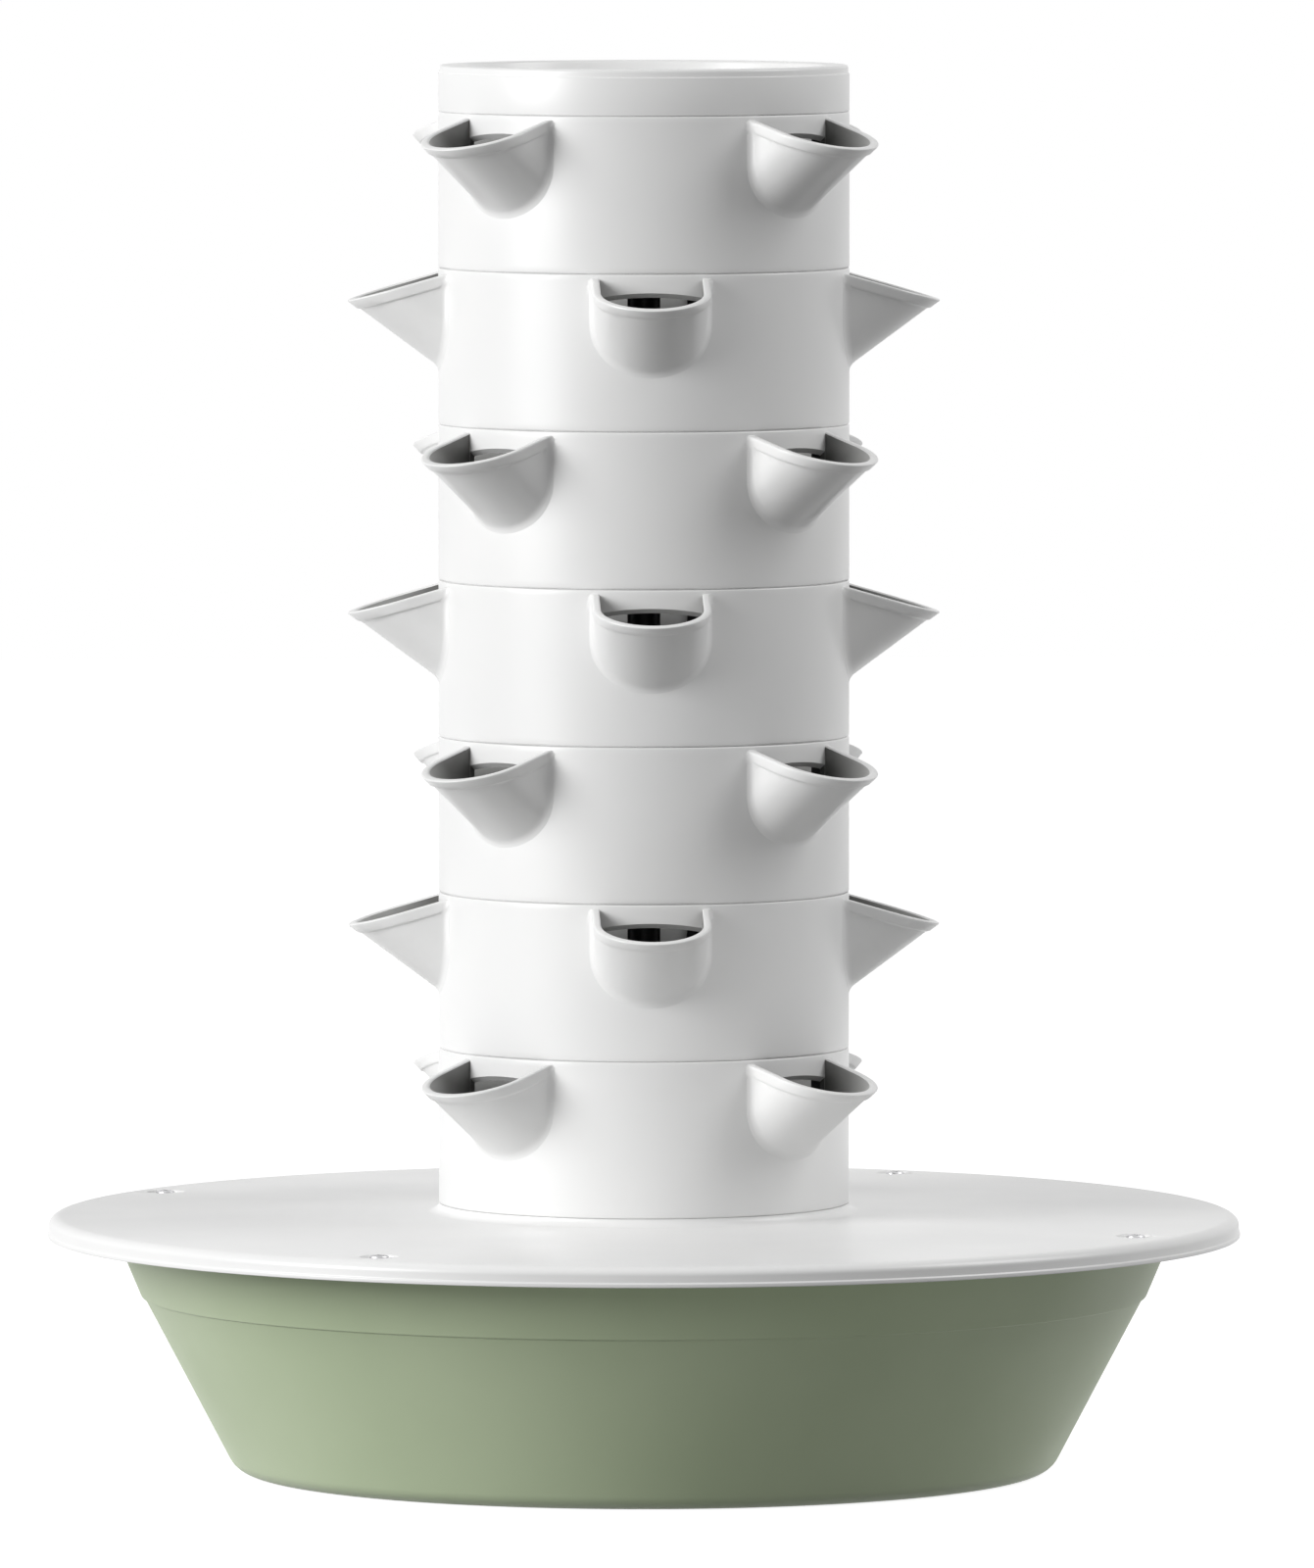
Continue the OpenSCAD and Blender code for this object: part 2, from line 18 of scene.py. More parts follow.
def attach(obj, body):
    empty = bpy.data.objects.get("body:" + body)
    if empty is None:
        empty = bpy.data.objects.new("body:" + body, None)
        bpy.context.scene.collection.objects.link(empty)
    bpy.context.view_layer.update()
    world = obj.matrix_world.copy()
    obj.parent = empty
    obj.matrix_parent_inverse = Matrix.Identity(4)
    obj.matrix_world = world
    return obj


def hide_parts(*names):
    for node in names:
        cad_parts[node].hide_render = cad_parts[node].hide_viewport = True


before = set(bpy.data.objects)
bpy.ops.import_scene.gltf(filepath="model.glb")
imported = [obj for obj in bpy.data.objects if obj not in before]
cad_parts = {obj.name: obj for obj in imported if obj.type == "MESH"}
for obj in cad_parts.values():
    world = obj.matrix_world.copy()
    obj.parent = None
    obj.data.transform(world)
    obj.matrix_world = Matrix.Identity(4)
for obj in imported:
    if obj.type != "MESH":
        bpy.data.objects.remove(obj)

MM = 0.001
FULL_TURN = 2 * math.pi
scene = bpy.context.scene
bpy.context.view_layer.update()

# %% [markdown]
# ## Camera
# The picture was taken from far off with a long lens, a little above the tower's top: the lid
# shows as a thin ellipse and upright edges stay parallel. A short lens close by could fill the
# frame as well, but it would make the basin bulge. The camera stands nine metres away, two degrees
# to the left of the front, and looks slightly down.

# %% Camera
CAMERA_AWAY, CAMERA_TURN, CAMERA_HEIGHT = 9.0, math.radians(-2.0), 0.906
LOOKED_AT = Vector((0.0064, 0.0, 0.3352))
SENSOR_MM, LENS_MM, SEES_TO_M = 36, 425, 60
camera_data = bpy.data.cameras.new("camera")
camera_data.sensor_width = SENSOR_MM
camera_data.lens = LENS_MM
camera_data.clip_end = SEES_TO_M
camera = bpy.data.objects.new("camera", camera_data)
camera.location = (CAMERA_AWAY * math.sin(CAMERA_TURN), -CAMERA_AWAY * math.cos(CAMERA_TURN),
                   CAMERA_HEIGHT)
camera.rotation_euler = (LOOKED_AT - camera.location).to_track_quat("-Z", "Y").to_euler()
scene.collection.objects.link(camera)
scene.camera = camera
print("camera at", [round(v, 3) for v in camera.location])

# %% [markdown]
# ## Light, floor and background
# A product picture like this one is made in a white room: a big soft lamp low on the left gives the
# column its shape, and a weaker one on the right fills the shaded side. Two area lamps and a pale
# world do the same. The background has to stay white without more light on the tower. More lamps on
# the floor would make it white, but they would wash out the basin. So the world is plain white only
# where it is seen directly, in a reflection or through glass, and for light on the tower it is
# weaker. The floor is pale and glows a little where it is seen, where it keeps the tower's shadow,
# and it is dim for the light that bounces off it.

# %% Lamps
LAMPS_LOOK_AT = Vector((0, 0, 0.35))


def area_lamp(name, turn, lift, away, size, power):
    """A square lamp that looks at the tower's middle, turn degrees to the right of the front."""
    data = bpy.data.lights.new(name, "AREA")
    data.shape = "SQUARE"
    data.size = size
    data.energy = power
    lamp = bpy.data.objects.new(name, data)
    turn, lift = math.radians(turn), math.radians(lift)
    back = Vector((math.sin(turn) * math.cos(lift), -math.cos(turn) * math.cos(lift),
                   math.sin(lift)))
    lamp.location = LAMPS_LOOK_AT + back * away
    lamp.rotation_euler = (-back).to_track_quat("-Z", "Y").to_euler()
    scene.collection.objects.link(lamp)
    return lamp


area_lamp("key_lamp", turn=-63, lift=17, away=3.0, size=1.6, power=85)
area_lamp("fill_lamp", turn=84, lift=38, away=3.0, size=1.6, power=40)

# %% World
ROOM_LIGHT, BACKGROUND_WHITE = 0.31, 1.0
scene.view_settings.view_transform = "Standard"


def seen_directly(tree):
    """1 on a ray that comes from the camera, or by way of a reflection or glass, and else 0."""
    rays = tree.nodes.new("ShaderNodeLightPath")
    either = tree.nodes.new("ShaderNodeMath")
    either.operation = "MAXIMUM"
    tree.links.new(rays.outputs["Is Camera Ray"], either.inputs[0])
    tree.links.new(rays.outputs["Is Glossy Ray"], either.inputs[1])
    third = tree.nodes.new("ShaderNodeMath")
    third.operation = "MAXIMUM"
    tree.links.new(either.outputs[0], third.inputs[0])
    tree.links.new(rays.outputs["Is Transmission Ray"], third.inputs[1])
    return third.outputs[0]


world = bpy.data.worlds.new("studio")
world.use_nodes = True
scene.world = world
room, white = world.node_tree.nodes["Background"], world.node_tree.nodes.new("ShaderNodeBackground")
room.inputs["Color"].default_value = (1, 1, 1, 1)
room.inputs["Strength"].default_value = ROOM_LIGHT
white.inputs["Color"].default_value = (1, 1, 1, 1)
white.inputs["Strength"].default_value = BACKGROUND_WHITE
choose = world.node_tree.nodes.new("ShaderNodeMixShader")
world.node_tree.links.new(seen_directly(world.node_tree), choose.inputs[0])
world.node_tree.links.new(room.outputs[0], choose.inputs[1])
world.node_tree.links.new(white.outputs[0], choose.inputs[2])
world.node_tree.links.new(choose.outputs[0], world.node_tree.nodes["World Output"].inputs[0])
print("world:", world.name)

# %% Floor
FLOOR_DIM, FLOOR_DIM_ROUGHNESS, FLOOR_PALE, FLOOR_GLOW = 0.10, 0.8, 0.5, 0.88
FLOOR_HALF, FLOOR_CELLS, FLOOR_BELOW = 7, 8, 0.2
floor_paint = bpy.data.materials.new("pale_floor")
floor_paint.use_nodes = True
tree = floor_paint.node_tree
dim = tree.nodes["Principled BSDF"]
dim.inputs["Base Color"].default_value = (FLOOR_DIM, FLOOR_DIM, FLOOR_DIM, 1)
dim.inputs["Roughness"].default_value = FLOOR_DIM_ROUGHNESS
pale = tree.nodes.new("ShaderNodeBsdfDiffuse")
pale.inputs["Color"].default_value = (FLOOR_PALE, FLOOR_PALE, FLOOR_PALE, 1)
glow = tree.nodes.new("ShaderNodeEmission")
glow.inputs["Strength"].default_value = FLOOR_GLOW
both, pick = tree.nodes.new("ShaderNodeAddShader"), tree.nodes.new("ShaderNodeMixShader")
tree.links.new(pale.outputs[0], both.inputs[0])
tree.links.new(glow.outputs[0], both.inputs[1])
tree.links.new(seen_directly(tree), pick.inputs[0])
tree.links.new(dim.outputs[0], pick.inputs[1])
tree.links.new(both.outputs[0], pick.inputs[2])
tree.links.new(pick.outputs[0], tree.nodes["Material Output"].inputs[0])

floor_bm = bmesh.new()
bmesh.ops.create_grid(floor_bm, x_segments=FLOOR_CELLS, y_segments=FLOOR_CELLS, size=FLOOR_HALF)
bmesh.ops.translate(floor_bm, verts=floor_bm.verts, vec=(0, 0, -FLOOR_BELOW * MM))
floor_mesh = bpy.data.meshes.new("floor")
floor_bm.to_mesh(floor_mesh)
floor_bm.free()
floor_mesh.materials.append(floor_paint)
floor = bpy.data.objects.new("floor", floor_mesh)
scene.collection.objects.link(floor)
print("floor", round(floor.dimensions.x, 1), "m wide")

# %% [markdown]
# ## Effects that several finishes share
# Moulded plastic is never one flat colour. It has a fine spark-eroded grain, a broad unevenness
# where the wall cooled, and edges that are rubbed a little paler, and dust settles where a face
# looks up. Photos could supply these, but they stretch over curved parts. Three node groups make
# them from noise on Object coordinates, so that each finish can use them at its own strength.

# %% Node group helpers
def new_group(name, inputs, outputs):
    """A shader node group with float sockets: inputs is {name: default}, outputs a name list."""
    group = bpy.data.node_groups.new(name, "ShaderNodeTree")
    for socket, value in inputs.items():
        made = group.interface.new_socket(name=socket, in_out="INPUT",
                                          socket_type="NodeSocketFloat")
        made.default_value = value
    for socket in outputs:
        group.interface.new_socket(name=socket, in_out="OUTPUT", socket_type="NodeSocketFloat")
    return group, group.nodes.new("NodeGroupInput"), group.nodes.new("NodeGroupOutput")


def node(tree, kind, **values):
    """A new node, with its properties or its input values set by name."""
    made = tree.nodes.new(kind)
    for name, value in values.items():
        if hasattr(made, name):
            setattr(made, name, value)
        else:
            made.inputs[name.replace("_", " ")].default_value = value
    return made


def sum_of(tree, operation, a, b):
    """A Math node on two values, each a socket or a number."""
    made = node(tree, "ShaderNodeMath", operation=operation)
    for socket, value in zip(made.inputs, (a, b)):
        if isinstance(value, (int, float)):
            socket.default_value = value
        else:
            tree.links.new(value, socket)
    return made.outputs[0]


def stretched(tree, value, low, high):
    """The value with low moved to 0 and high to 1, and the rest cut off."""
    made = node(tree, "ShaderNodeMapRange")
    tree.links.new(value, made.inputs["Value"])
    made.inputs["From Min"].default_value = low
    made.inputs["From Max"].default_value = high
    return made.outputs[0]


def noise_on(tree, scale, detail=2.0):
    """Noise on Object coordinates; scale is in turns per metre, a number or a socket."""
    place = node(tree, "ShaderNodeTexCoord")
    made = node(tree, "ShaderNodeTexNoise", Detail=detail)
    tree.links.new(place.outputs["Object"], made.inputs["Vector"])
    if isinstance(scale, (int, float)):
        made.inputs["Scale"].default_value = scale
    else:
        tree.links.new(scale, made.inputs["Scale"])
    return made.outputs["Fac"]


# %% Moulded grain
GRAIN_SCALE, FLOW_SCALE, FLOW_RANGE, FLOW_HEIGHT = 2500.0, 9.0, (0.35, 0.65), 0.5
grain_group, gin, gout = new_group("moulded_grain",
                                   {"Scale": GRAIN_SCALE, "Flow Scale": FLOW_SCALE},
                                   ["Height", "Flow"])
fine = noise_on(grain_group, gin.outputs["Scale"], 3.0)
broad = noise_on(grain_group, gin.outputs["Flow Scale"], 3.0)
waves = sum_of(grain_group, "MULTIPLY", broad, FLOW_HEIGHT)
grain_group.links.new(sum_of(grain_group, "ADD", fine, waves), gout.inputs["Height"])
grain_group.links.new(stretched(grain_group, broad, *FLOW_RANGE), gout.inputs["Flow"])
print("group:", grain_group.name)

# %% Rubbed edges
EDGE_RANGE, PATCH_SCALE, PATCH_RANGE = (0.52, 0.60), 60.0, (0.40, 0.62)
edge_group, ein, eout = new_group("rubbed_edges", {"Amount": 0.5}, ["Mask"])
surface = node(edge_group, "ShaderNodeNewGeometry")
edges = stretched(edge_group, surface.outputs["Pointiness"], *EDGE_RANGE)
patchy = stretched(edge_group, noise_on(edge_group, PATCH_SCALE, 4.0), *PATCH_RANGE)
rubbed = sum_of(edge_group, "MULTIPLY", edges, patchy)
edge_group.links.new(sum_of(edge_group, "MULTIPLY", rubbed, ein.outputs["Amount"]),
                     eout.inputs["Mask"])
print("group:", edge_group.name)

# %% Settled dust
UP_RANGE, SPECK_SCALE, SPECK_RANGE, SPECK_SHARE = (0.55, 1.0), 900.0, (0.48, 0.75), 0.6
DRIFT_SCALE, DRIFT_RANGE, DRIFT_SHARE = 12.0, (0.3, 0.7), 0.4
dust_group, din, dout = new_group("settled_dust", {"Amount": 0.5}, ["Mask"])
surface = node(dust_group, "ShaderNodeNewGeometry")
split = node(dust_group, "ShaderNodeSeparateXYZ")
dust_group.links.new(surface.outputs["Normal"], split.inputs[0])
looks_up = stretched(dust_group, split.outputs["Z"], *UP_RANGE)
specks = stretched(dust_group, noise_on(dust_group, SPECK_SCALE, 6.0), *SPECK_RANGE)
drift = stretched(dust_group, noise_on(dust_group, DRIFT_SCALE, 3.0), *DRIFT_RANGE)
settled = sum_of(dust_group, "MULTIPLY", looks_up,
                 sum_of(dust_group, "ADD", sum_of(dust_group, "MULTIPLY", specks, SPECK_SHARE),
                        sum_of(dust_group, "MULTIPLY", drift, DRIFT_SHARE)))
dust_group.links.new(sum_of(dust_group, "MULTIPLY", settled, din.outputs["Amount"]),
                     dout.inputs["Mask"])
print("group:", dust_group.name)

# %% [markdown]
# ## Finishes
# The tower's plastics differ in colour, gloss and grain, but they are made the same way. One
# function builds such a finish from the three groups: the broad noise shifts the colour a little,
# rubbed edges are paler and shinier, dust is greyer and dull, and the grain goes to a Bump node.
# A finish with its own pattern, such as foam, gets its own cell.

# %% Colours and groups in a material
def mixed(tree, mask, a, b):
    """A colour between a and b; each is a socket or three numbers."""
    made = node(tree, "ShaderNodeMix", data_type="RGBA")
    tree.links.new(mask, made.inputs[0])
    for socket, value in ((made.inputs[6], a), (made.inputs[7], b)):
        if isinstance(value, tuple):
            socket.default_value = (*value, 1)
        else:
            tree.links.new(value, socket)
    return made.outputs[2]


def group_node(tree, group, **values):
    """A node for the group, with its input values set by name."""
    made = tree.nodes.new("ShaderNodeGroup")
    made.node_tree = group
    for name, value in values.items():
        made.inputs[name.replace("_", " ")].default_value = value
    return made


# %% How a moulded plastic is made
FLOW_ROUGHER, DUST_ROUGHER, EDGE_SMOOTHER, GRAIN_DISTANCE = 0.06, 0.35, 0.08, 0.0004


def plastic(name, colour, uneven, gloss, grain=GRAIN_SCALE, grain_depth=0.05, wear=0.3, dust=0.2,
            worn=(0.9, 0.9, 0.9), dusty=(0.62, 0.61, 0.59), specular=0.5):
    """A moulded plastic: uneven is its second shade, gloss its roughness, grain turns a metre."""
    material = bpy.data.materials.new(name)
    material.use_nodes = True
    tree = material.node_tree
    shader = tree.nodes["Principled BSDF"]
    shader.inputs["Specular IOR Level"].default_value = specular
    grains = group_node(tree, grain_group, Scale=grain)
    edge = group_node(tree, edge_group, Amount=wear)
    settled = group_node(tree, dust_group, Amount=dust)
    body = mixed(tree, grains.outputs["Flow"], colour, uneven)
    body = mixed(tree, edge.outputs["Mask"], body, worn)
    tree.links.new(mixed(tree, settled.outputs["Mask"], body, dusty), shader.inputs["Base Color"])
    rough = gloss
    for how, mask, share in (("ADD", grains.outputs["Flow"], FLOW_ROUGHER),
                             ("ADD", settled.outputs["Mask"], DUST_ROUGHER),
                             ("SUBTRACT", edge.outputs["Mask"], EDGE_SMOOTHER)):
        rough = sum_of(tree, how, rough, sum_of(tree, "MULTIPLY", mask, share))
    tree.links.new(rough, shader.inputs["Roughness"])
    bump = node(tree, "ShaderNodeBump", Strength=grain_depth, Distance=GRAIN_DISTANCE)
    tree.links.new(grains.outputs["Height"], bump.inputs["Height"])
    tree.links.new(bump.outputs[0], shader.inputs["Normal"])
    return material


# %% Plastic finishes
white_plastic = plastic("white_plastic", (0.80, 0.80, 0.795), (0.775, 0.777, 0.775), 0.30)
column_liner = plastic("column_liner", (0.035, 0.035, 0.036), (0.05, 0.05, 0.05), 0.5, wear=0.1,
                       worn=(0.12, 0.12, 0.12), dusty=(0.16, 0.16, 0.15))
sage_plastic = plastic("sage_plastic", (0.51, 0.60, 0.40), (0.48, 0.57, 0.375), 0.45, grain=1800.0,
                       grain_depth=0.12, worn=(0.55, 0.6, 0.48), dusty=(0.5, 0.52, 0.46))
black_rubber = plastic("black_rubber", (0.018, 0.018, 0.018), (0.03, 0.03, 0.03), 0.7, wear=0.4,
                       worn=(0.09, 0.09, 0.09), dust=0.5, dusty=(0.2, 0.2, 0.19))
pump_plastic = plastic("pump_plastic", (0.02, 0.022, 0.025), (0.03, 0.032, 0.035), 0.45, dust=0.1,
                       worn=(0.12, 0.12, 0.13), dusty=(0.15, 0.15, 0.14))
pipe_plastic = plastic("pipe_plastic", (0.012, 0.012, 0.013), (0.02, 0.02, 0.021), 0.38, wear=0.2,
                       worn=(0.07, 0.07, 0.07), dusty=(0.12, 0.12, 0.12))
disc_plastic = plastic("disc_plastic", (0.58, 0.6, 0.6), (0.55, 0.57, 0.57), 0.4)
rotor_plastic = plastic("rotor_plastic", (0.05, 0.055, 0.06), (0.07, 0.075, 0.08), 0.4,
                        worn=(0.2, 0.2, 0.2), dusty=(0.2, 0.2, 0.19))
ceramic = plastic("ceramic", (0.78, 0.74, 0.64), (0.74, 0.70, 0.61), 0.12, grain_depth=0.01,
                  wear=0.1, worn=(0.85, 0.82, 0.74))
print("plastics:", len(bpy.data.materials))

# %% [markdown]
# The pockets' inner walls are the tier's white plastic, but their colour is painted darker as
# painted shade for the shadow inside a pocket. It is darkest where a pocket meets the column and
# least dark at its tip. A mask painted on the mesh could say how far in a place is, but its
# distance from the column's axis says it too, and noise breaks up the painted shade's edge.

# %% Painted shade inside the pockets
POCKET_SHADE_COLOUR, SHADE_FULL_R, SHADE_NONE_R = (0.125, 0.125, 0.12), 0.100, 0.152
SHADE_NOISE_SCALE, SHADE_NOISE_LEAST, SHADE_NOISE_SHARE = 45.0, 0.8, 0.4


def with_painted_shade(material, painted_shade, from_r, to_r):
    """Mixes painted shade over the finish: full at one distance from the axis, none at the other.
    """
    tree = material.node_tree
    colour = tree.nodes["Principled BSDF"].inputs["Base Color"]
    place = node(tree, "ShaderNodeTexCoord")
    flat = node(tree, "ShaderNodeVectorMath", operation="MULTIPLY")
    flat.inputs[1].default_value = (1, 1, 0)
    tree.links.new(place.outputs["Object"], flat.inputs[0])
    distance = node(tree, "ShaderNodeVectorMath", operation="LENGTH")
    tree.links.new(flat.outputs[0], distance.inputs[0])
    inwards = stretched(tree, distance.outputs["Value"], to_r, from_r)
    shade_noise = sum_of(tree, "MULTIPLY", noise_on(tree, SHADE_NOISE_SCALE, 4.0), SHADE_NOISE_SHARE)
    mask = sum_of(tree, "MULTIPLY", inwards, sum_of(tree, "ADD", SHADE_NOISE_LEAST, shade_noise))
    # Painted shade: the colour darkens towards the column's axis, with noise in it.
    tree.links.new(mixed(tree, mask, colour.links[0].from_socket, painted_shade), colour)
    return material


# The pockets' base colour is darker than the white plastic, as painted shade.
pocket_inside_painted_shade = with_painted_shade(plastic("pocket_inside_painted_shade", (0.62, 0.62, 0.61), (0.56, 0.56, 0.55), 0.36),
                        POCKET_SHADE_COLOUR, SHADE_FULL_R, SHADE_NONE_R)
print("stain reaches", pocket_inside_painted_shade.name)

# %% [markdown]
# Two finishes aren't moulded. The screws' heads are turned from stainless steel, which leaves fine
# marks. Rings from a Wave texture could draw them, but the four screws are one piece and would need
# a centre each, and on so small a head the shared grain looks the same. The pump's filter is open
# foam, whose cells a Voronoi texture draws well.

# %% Turned steel
STEEL_LIGHT, STEEL_DARK, STEEL_WORN = (0.60, 0.60, 0.61), (0.50, 0.50, 0.51), (0.8, 0.8, 0.8)
STEEL_ROUGH, STEEL_ROUGHER = 0.24, 0.12


def turned_steel(name, mark_scale):
    """Bright metal with fine marks; mark_scale is in turns per metre."""
    material = bpy.data.materials.new(name)
    material.use_nodes = True
    tree = material.node_tree
    shader = tree.nodes["Principled BSDF"]
    shader.inputs["Metallic"].default_value = 1.0
    grains = group_node(tree, grain_group, Scale=mark_scale)
    edge = group_node(tree, edge_group, Amount=0.5)
    body = mixed(tree, grains.outputs["Flow"], STEEL_LIGHT, STEEL_DARK)
    tree.links.new(mixed(tree, edge.outputs["Mask"], body, STEEL_WORN), shader.inputs["Base Color"])
    marks = sum_of(tree, "MULTIPLY", grains.outputs["Flow"], STEEL_ROUGHER)
    tree.links.new(sum_of(tree, "ADD", STEEL_ROUGH, marks), shader.inputs["Roughness"])
    bump = node(tree, "ShaderNodeBump", Strength=0.2, Distance=0.0002)
    tree.links.new(grains.outputs["Height"], bump.inputs["Height"])
    tree.links.new(bump.outputs[0], shader.inputs["Normal"])
    return material


screw_steel = turned_steel("screw_steel", 4000.0)
print("metal:", screw_steel.name)


# %% Open foam
FOAM_HOLLOW_SHADE, FOAM_TOP, CELL_RANGE = (0.012, 0.012, 0.014), (0.09, 0.09, 0.10), (0.15, 0.6)
FOAM_ROUGH, FOAM_ROUGHER = 0.85, 0.1


def open_foam(name, cell_scale):
    """Dark foam with open cells; cell_scale is in cells per metre."""
    material = bpy.data.materials.new(name)
    material.use_nodes = True
    tree = material.node_tree
    shader = tree.nodes["Principled BSDF"]
    place = node(tree, "ShaderNodeTexCoord")
    cells = node(tree, "ShaderNodeTexVoronoi", Scale=cell_scale)
    tree.links.new(place.outputs["Object"], cells.inputs["Vector"])
    holes = stretched(tree, cells.outputs["Distance"], *CELL_RANGE)
    # The cells' hollows are painted darker than their rims, as painted shade in the holes.
    tree.links.new(mixed(tree, holes, FOAM_HOLLOW_SHADE, FOAM_TOP), shader.inputs["Base Color"])
    uneven = sum_of(tree, "MULTIPLY", holes, FOAM_ROUGHER)
    tree.links.new(sum_of(tree, "ADD", FOAM_ROUGH, uneven), shader.inputs["Roughness"])
    bump = node(tree, "ShaderNodeBump", Strength=0.8, Distance=0.0008)
    tree.links.new(holes, bump.inputs["Height"])
    tree.links.new(bump.outputs[0], shader.inputs["Normal"])
    return material


filter_foam = open_foam("filter_foam", 900.0)
print("finishes:", sorted(m.name for m in bpy.data.materials))

# %% [markdown]
# ## Turning a round part
# Most of the tower is round, so most parts start as half of a section in the plane of radius and
# height. A lathe modifier could turn it, but the spin operator does it on the mesh, so later steps
# can cut it. A third number at a corner is how far its rounding reaches along each side.

# %% Outline and lathe
MERGE_TURNED = 0.002


def outline(points, segments=4):
    """A closed wire through (radius, height) or (radius, height, rounding) points in mm."""
    bm = bmesh.new()
    corners = [bm.verts.new((p[0] * MM, 0, p[1] * MM)) for p in points]
    for a, b in zip(corners, corners[1:] + corners[:1]):
        bm.edges.new((a, b))
    for corner, point in zip(corners, points):
        if len(point) == 3:
            bmesh.ops.bevel(bm, geom=[corner], offset=point[2] * MM, offset_type="OFFSET",
                            segments=segments, profile=0.5, affect="VERTICES", material=-1)
    return bm


def turned(bm, steps=256):
    """The wire spun a full turn round Z, closed, with its faces outwards."""
    bmesh.ops.spin(bm, geom=bm.verts[:] + bm.edges[:], cent=(0, 0, 0), axis=(0, 0, 1),
                   angle=FULL_TURN, steps=steps, use_merge=True)
    bmesh.ops.remove_doubles(bm, verts=bm.verts, dist=MERGE_TURNED * MM)
    bmesh.ops.recalc_face_normals(bm, faces=bm.faces)
    return bm


def arc(r, z, wide, high, start, end, steps=10):
    """Points on an ellipse's arc round (r, z), from one angle to another, in degrees."""
    angles = [math.radians(start + (end - start) * i / steps) for i in range(steps + 1)]
    return [(r + wide * math.cos(a), z + high * math.sin(a)) for a in angles]


# %% [markdown]
# A cut or a join of two closed meshes is a Boolean modifier. It could stay live on the piece, but
# the tool object would then have to stay in the file, so its result is read back into a bmesh.

# %% Booleans
MERGE = 0.004


def as_object(name, bm):
    """A new object with the bmesh as its mesh; the bmesh is used up."""
    mesh = bpy.data.meshes.new(name)
    bm.to_mesh(mesh)
    bm.free()
    made = bpy.data.objects.new(name, mesh)
    scene.collection.objects.link(made)
    return made


def combined(bm, tool, operation):
    """The first bmesh with the tool joined to it or taken from it, as a new bmesh."""
    base, other = as_object("base", bm), as_object("tool", tool)
    step = base.modifiers.new("step", "BOOLEAN")
    step.operation, step.object, step.solver = operation, other, "EXACT"
    bpy.context.view_layer.update()
    done = base.evaluated_get(bpy.context.evaluated_depsgraph_get())
    result = bmesh.new()
    result.from_mesh(done.to_mesh())
    done.to_mesh_clear()
    for used in (base, other):
        mesh = used.data
        bpy.data.objects.remove(used)
        bpy.data.meshes.remove(mesh)
    bmesh.ops.remove_doubles(result, verts=result.verts, dist=MERGE * MM)
    return result


# %% Finished pieces
def piece(name, bm, body, slot, nodes, *finishes, sharp=32):
    """A finished piece: smooth but for its sharp edges, on its body, in place of its CAD nodes."""
    made = as_object(name, bm)
    for finish in finishes:
        made.data.materials.append(finish)
    made.data.shade_smooth()
    made.data.set_sharp_from_angle(angle=math.radians(sharp))
    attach(made, body)
    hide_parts(*nodes)
    print(name, len(made.data.polygons), "faces")
    return made


# %% [markdown]
# ## Tier shell
# A tier's body is a plain tube with a spigot below that drops into the tier under it. Where two
# tiers meet, their rounded edges leave the thin shadow line that the picture shows. Its outer
# wall gets rows of small faces, because the pockets are joined to it and long faces would shade in
# streaks there.

# %% Tier shell
TIER_H, COLUMN_R, COLUMN_IN_R = 76.0, 100.0, 97.0
SPIGOT_R, SPIGOT_IN_R, SPIGOT_H, LEDGE_H = 96.6, 93.6, 8.0, 5.0
TIER_FOOT_ROUND, TIER_TOP_ROUND, WALL_ROUND = 1.1, 0.9, 0.5
SPIGOT_ROUND, SPIGOT_IN_ROUND = 0.8, 0.6
WALL_ROWS = 30
COLUMN_STEPS = 256


def tier_shell():
    """A tier without pockets, in mm from its foot."""
    bm = outline([(SPIGOT_IN_R, -SPIGOT_H, SPIGOT_IN_ROUND), (SPIGOT_R, -SPIGOT_H, SPIGOT_ROUND),
                  (SPIGOT_R, 0), (COLUMN_R, 0, TIER_FOOT_ROUND), (COLUMN_R, TIER_H, TIER_TOP_ROUND),
                  (COLUMN_IN_R, TIER_H, WALL_ROUND), (COLUMN_IN_R, LEDGE_H), (SPIGOT_IN_R, 0)])
    tall = [e for e in bm.edges if e.calc_length() > 0.9 * TIER_H * MM
            and e.verts[0].co.x > (COLUMN_R - 1) * MM]
    bmesh.ops.subdivide_edges(bm, edges=tall, cuts=WALL_ROWS)
    return turned(bm, COLUMN_STEPS)


# %% [markdown]
# ## Pocket cup
# Each pocket is a scoop with a round bottom that leaves the column at a slope and is cut off by a
# mouth that falls outwards. Its wall is one loop: up the outside, over a rounded rim with a small
# lip, and down the inside. The loop is drawn as a wire along the scoop's U and extruded row by row.
# A loft tool could do it, but rows let each vertex know how far it is from the column, so the
# outside can flow into the tube with a fillet, as a moulding must.

# %% Pocket measures
TILT = math.radians(36.5)
MOUTH_SLOPE = math.tan(math.radians(16))
RISE, RUN = math.sin(TILT), math.cos(TILT)
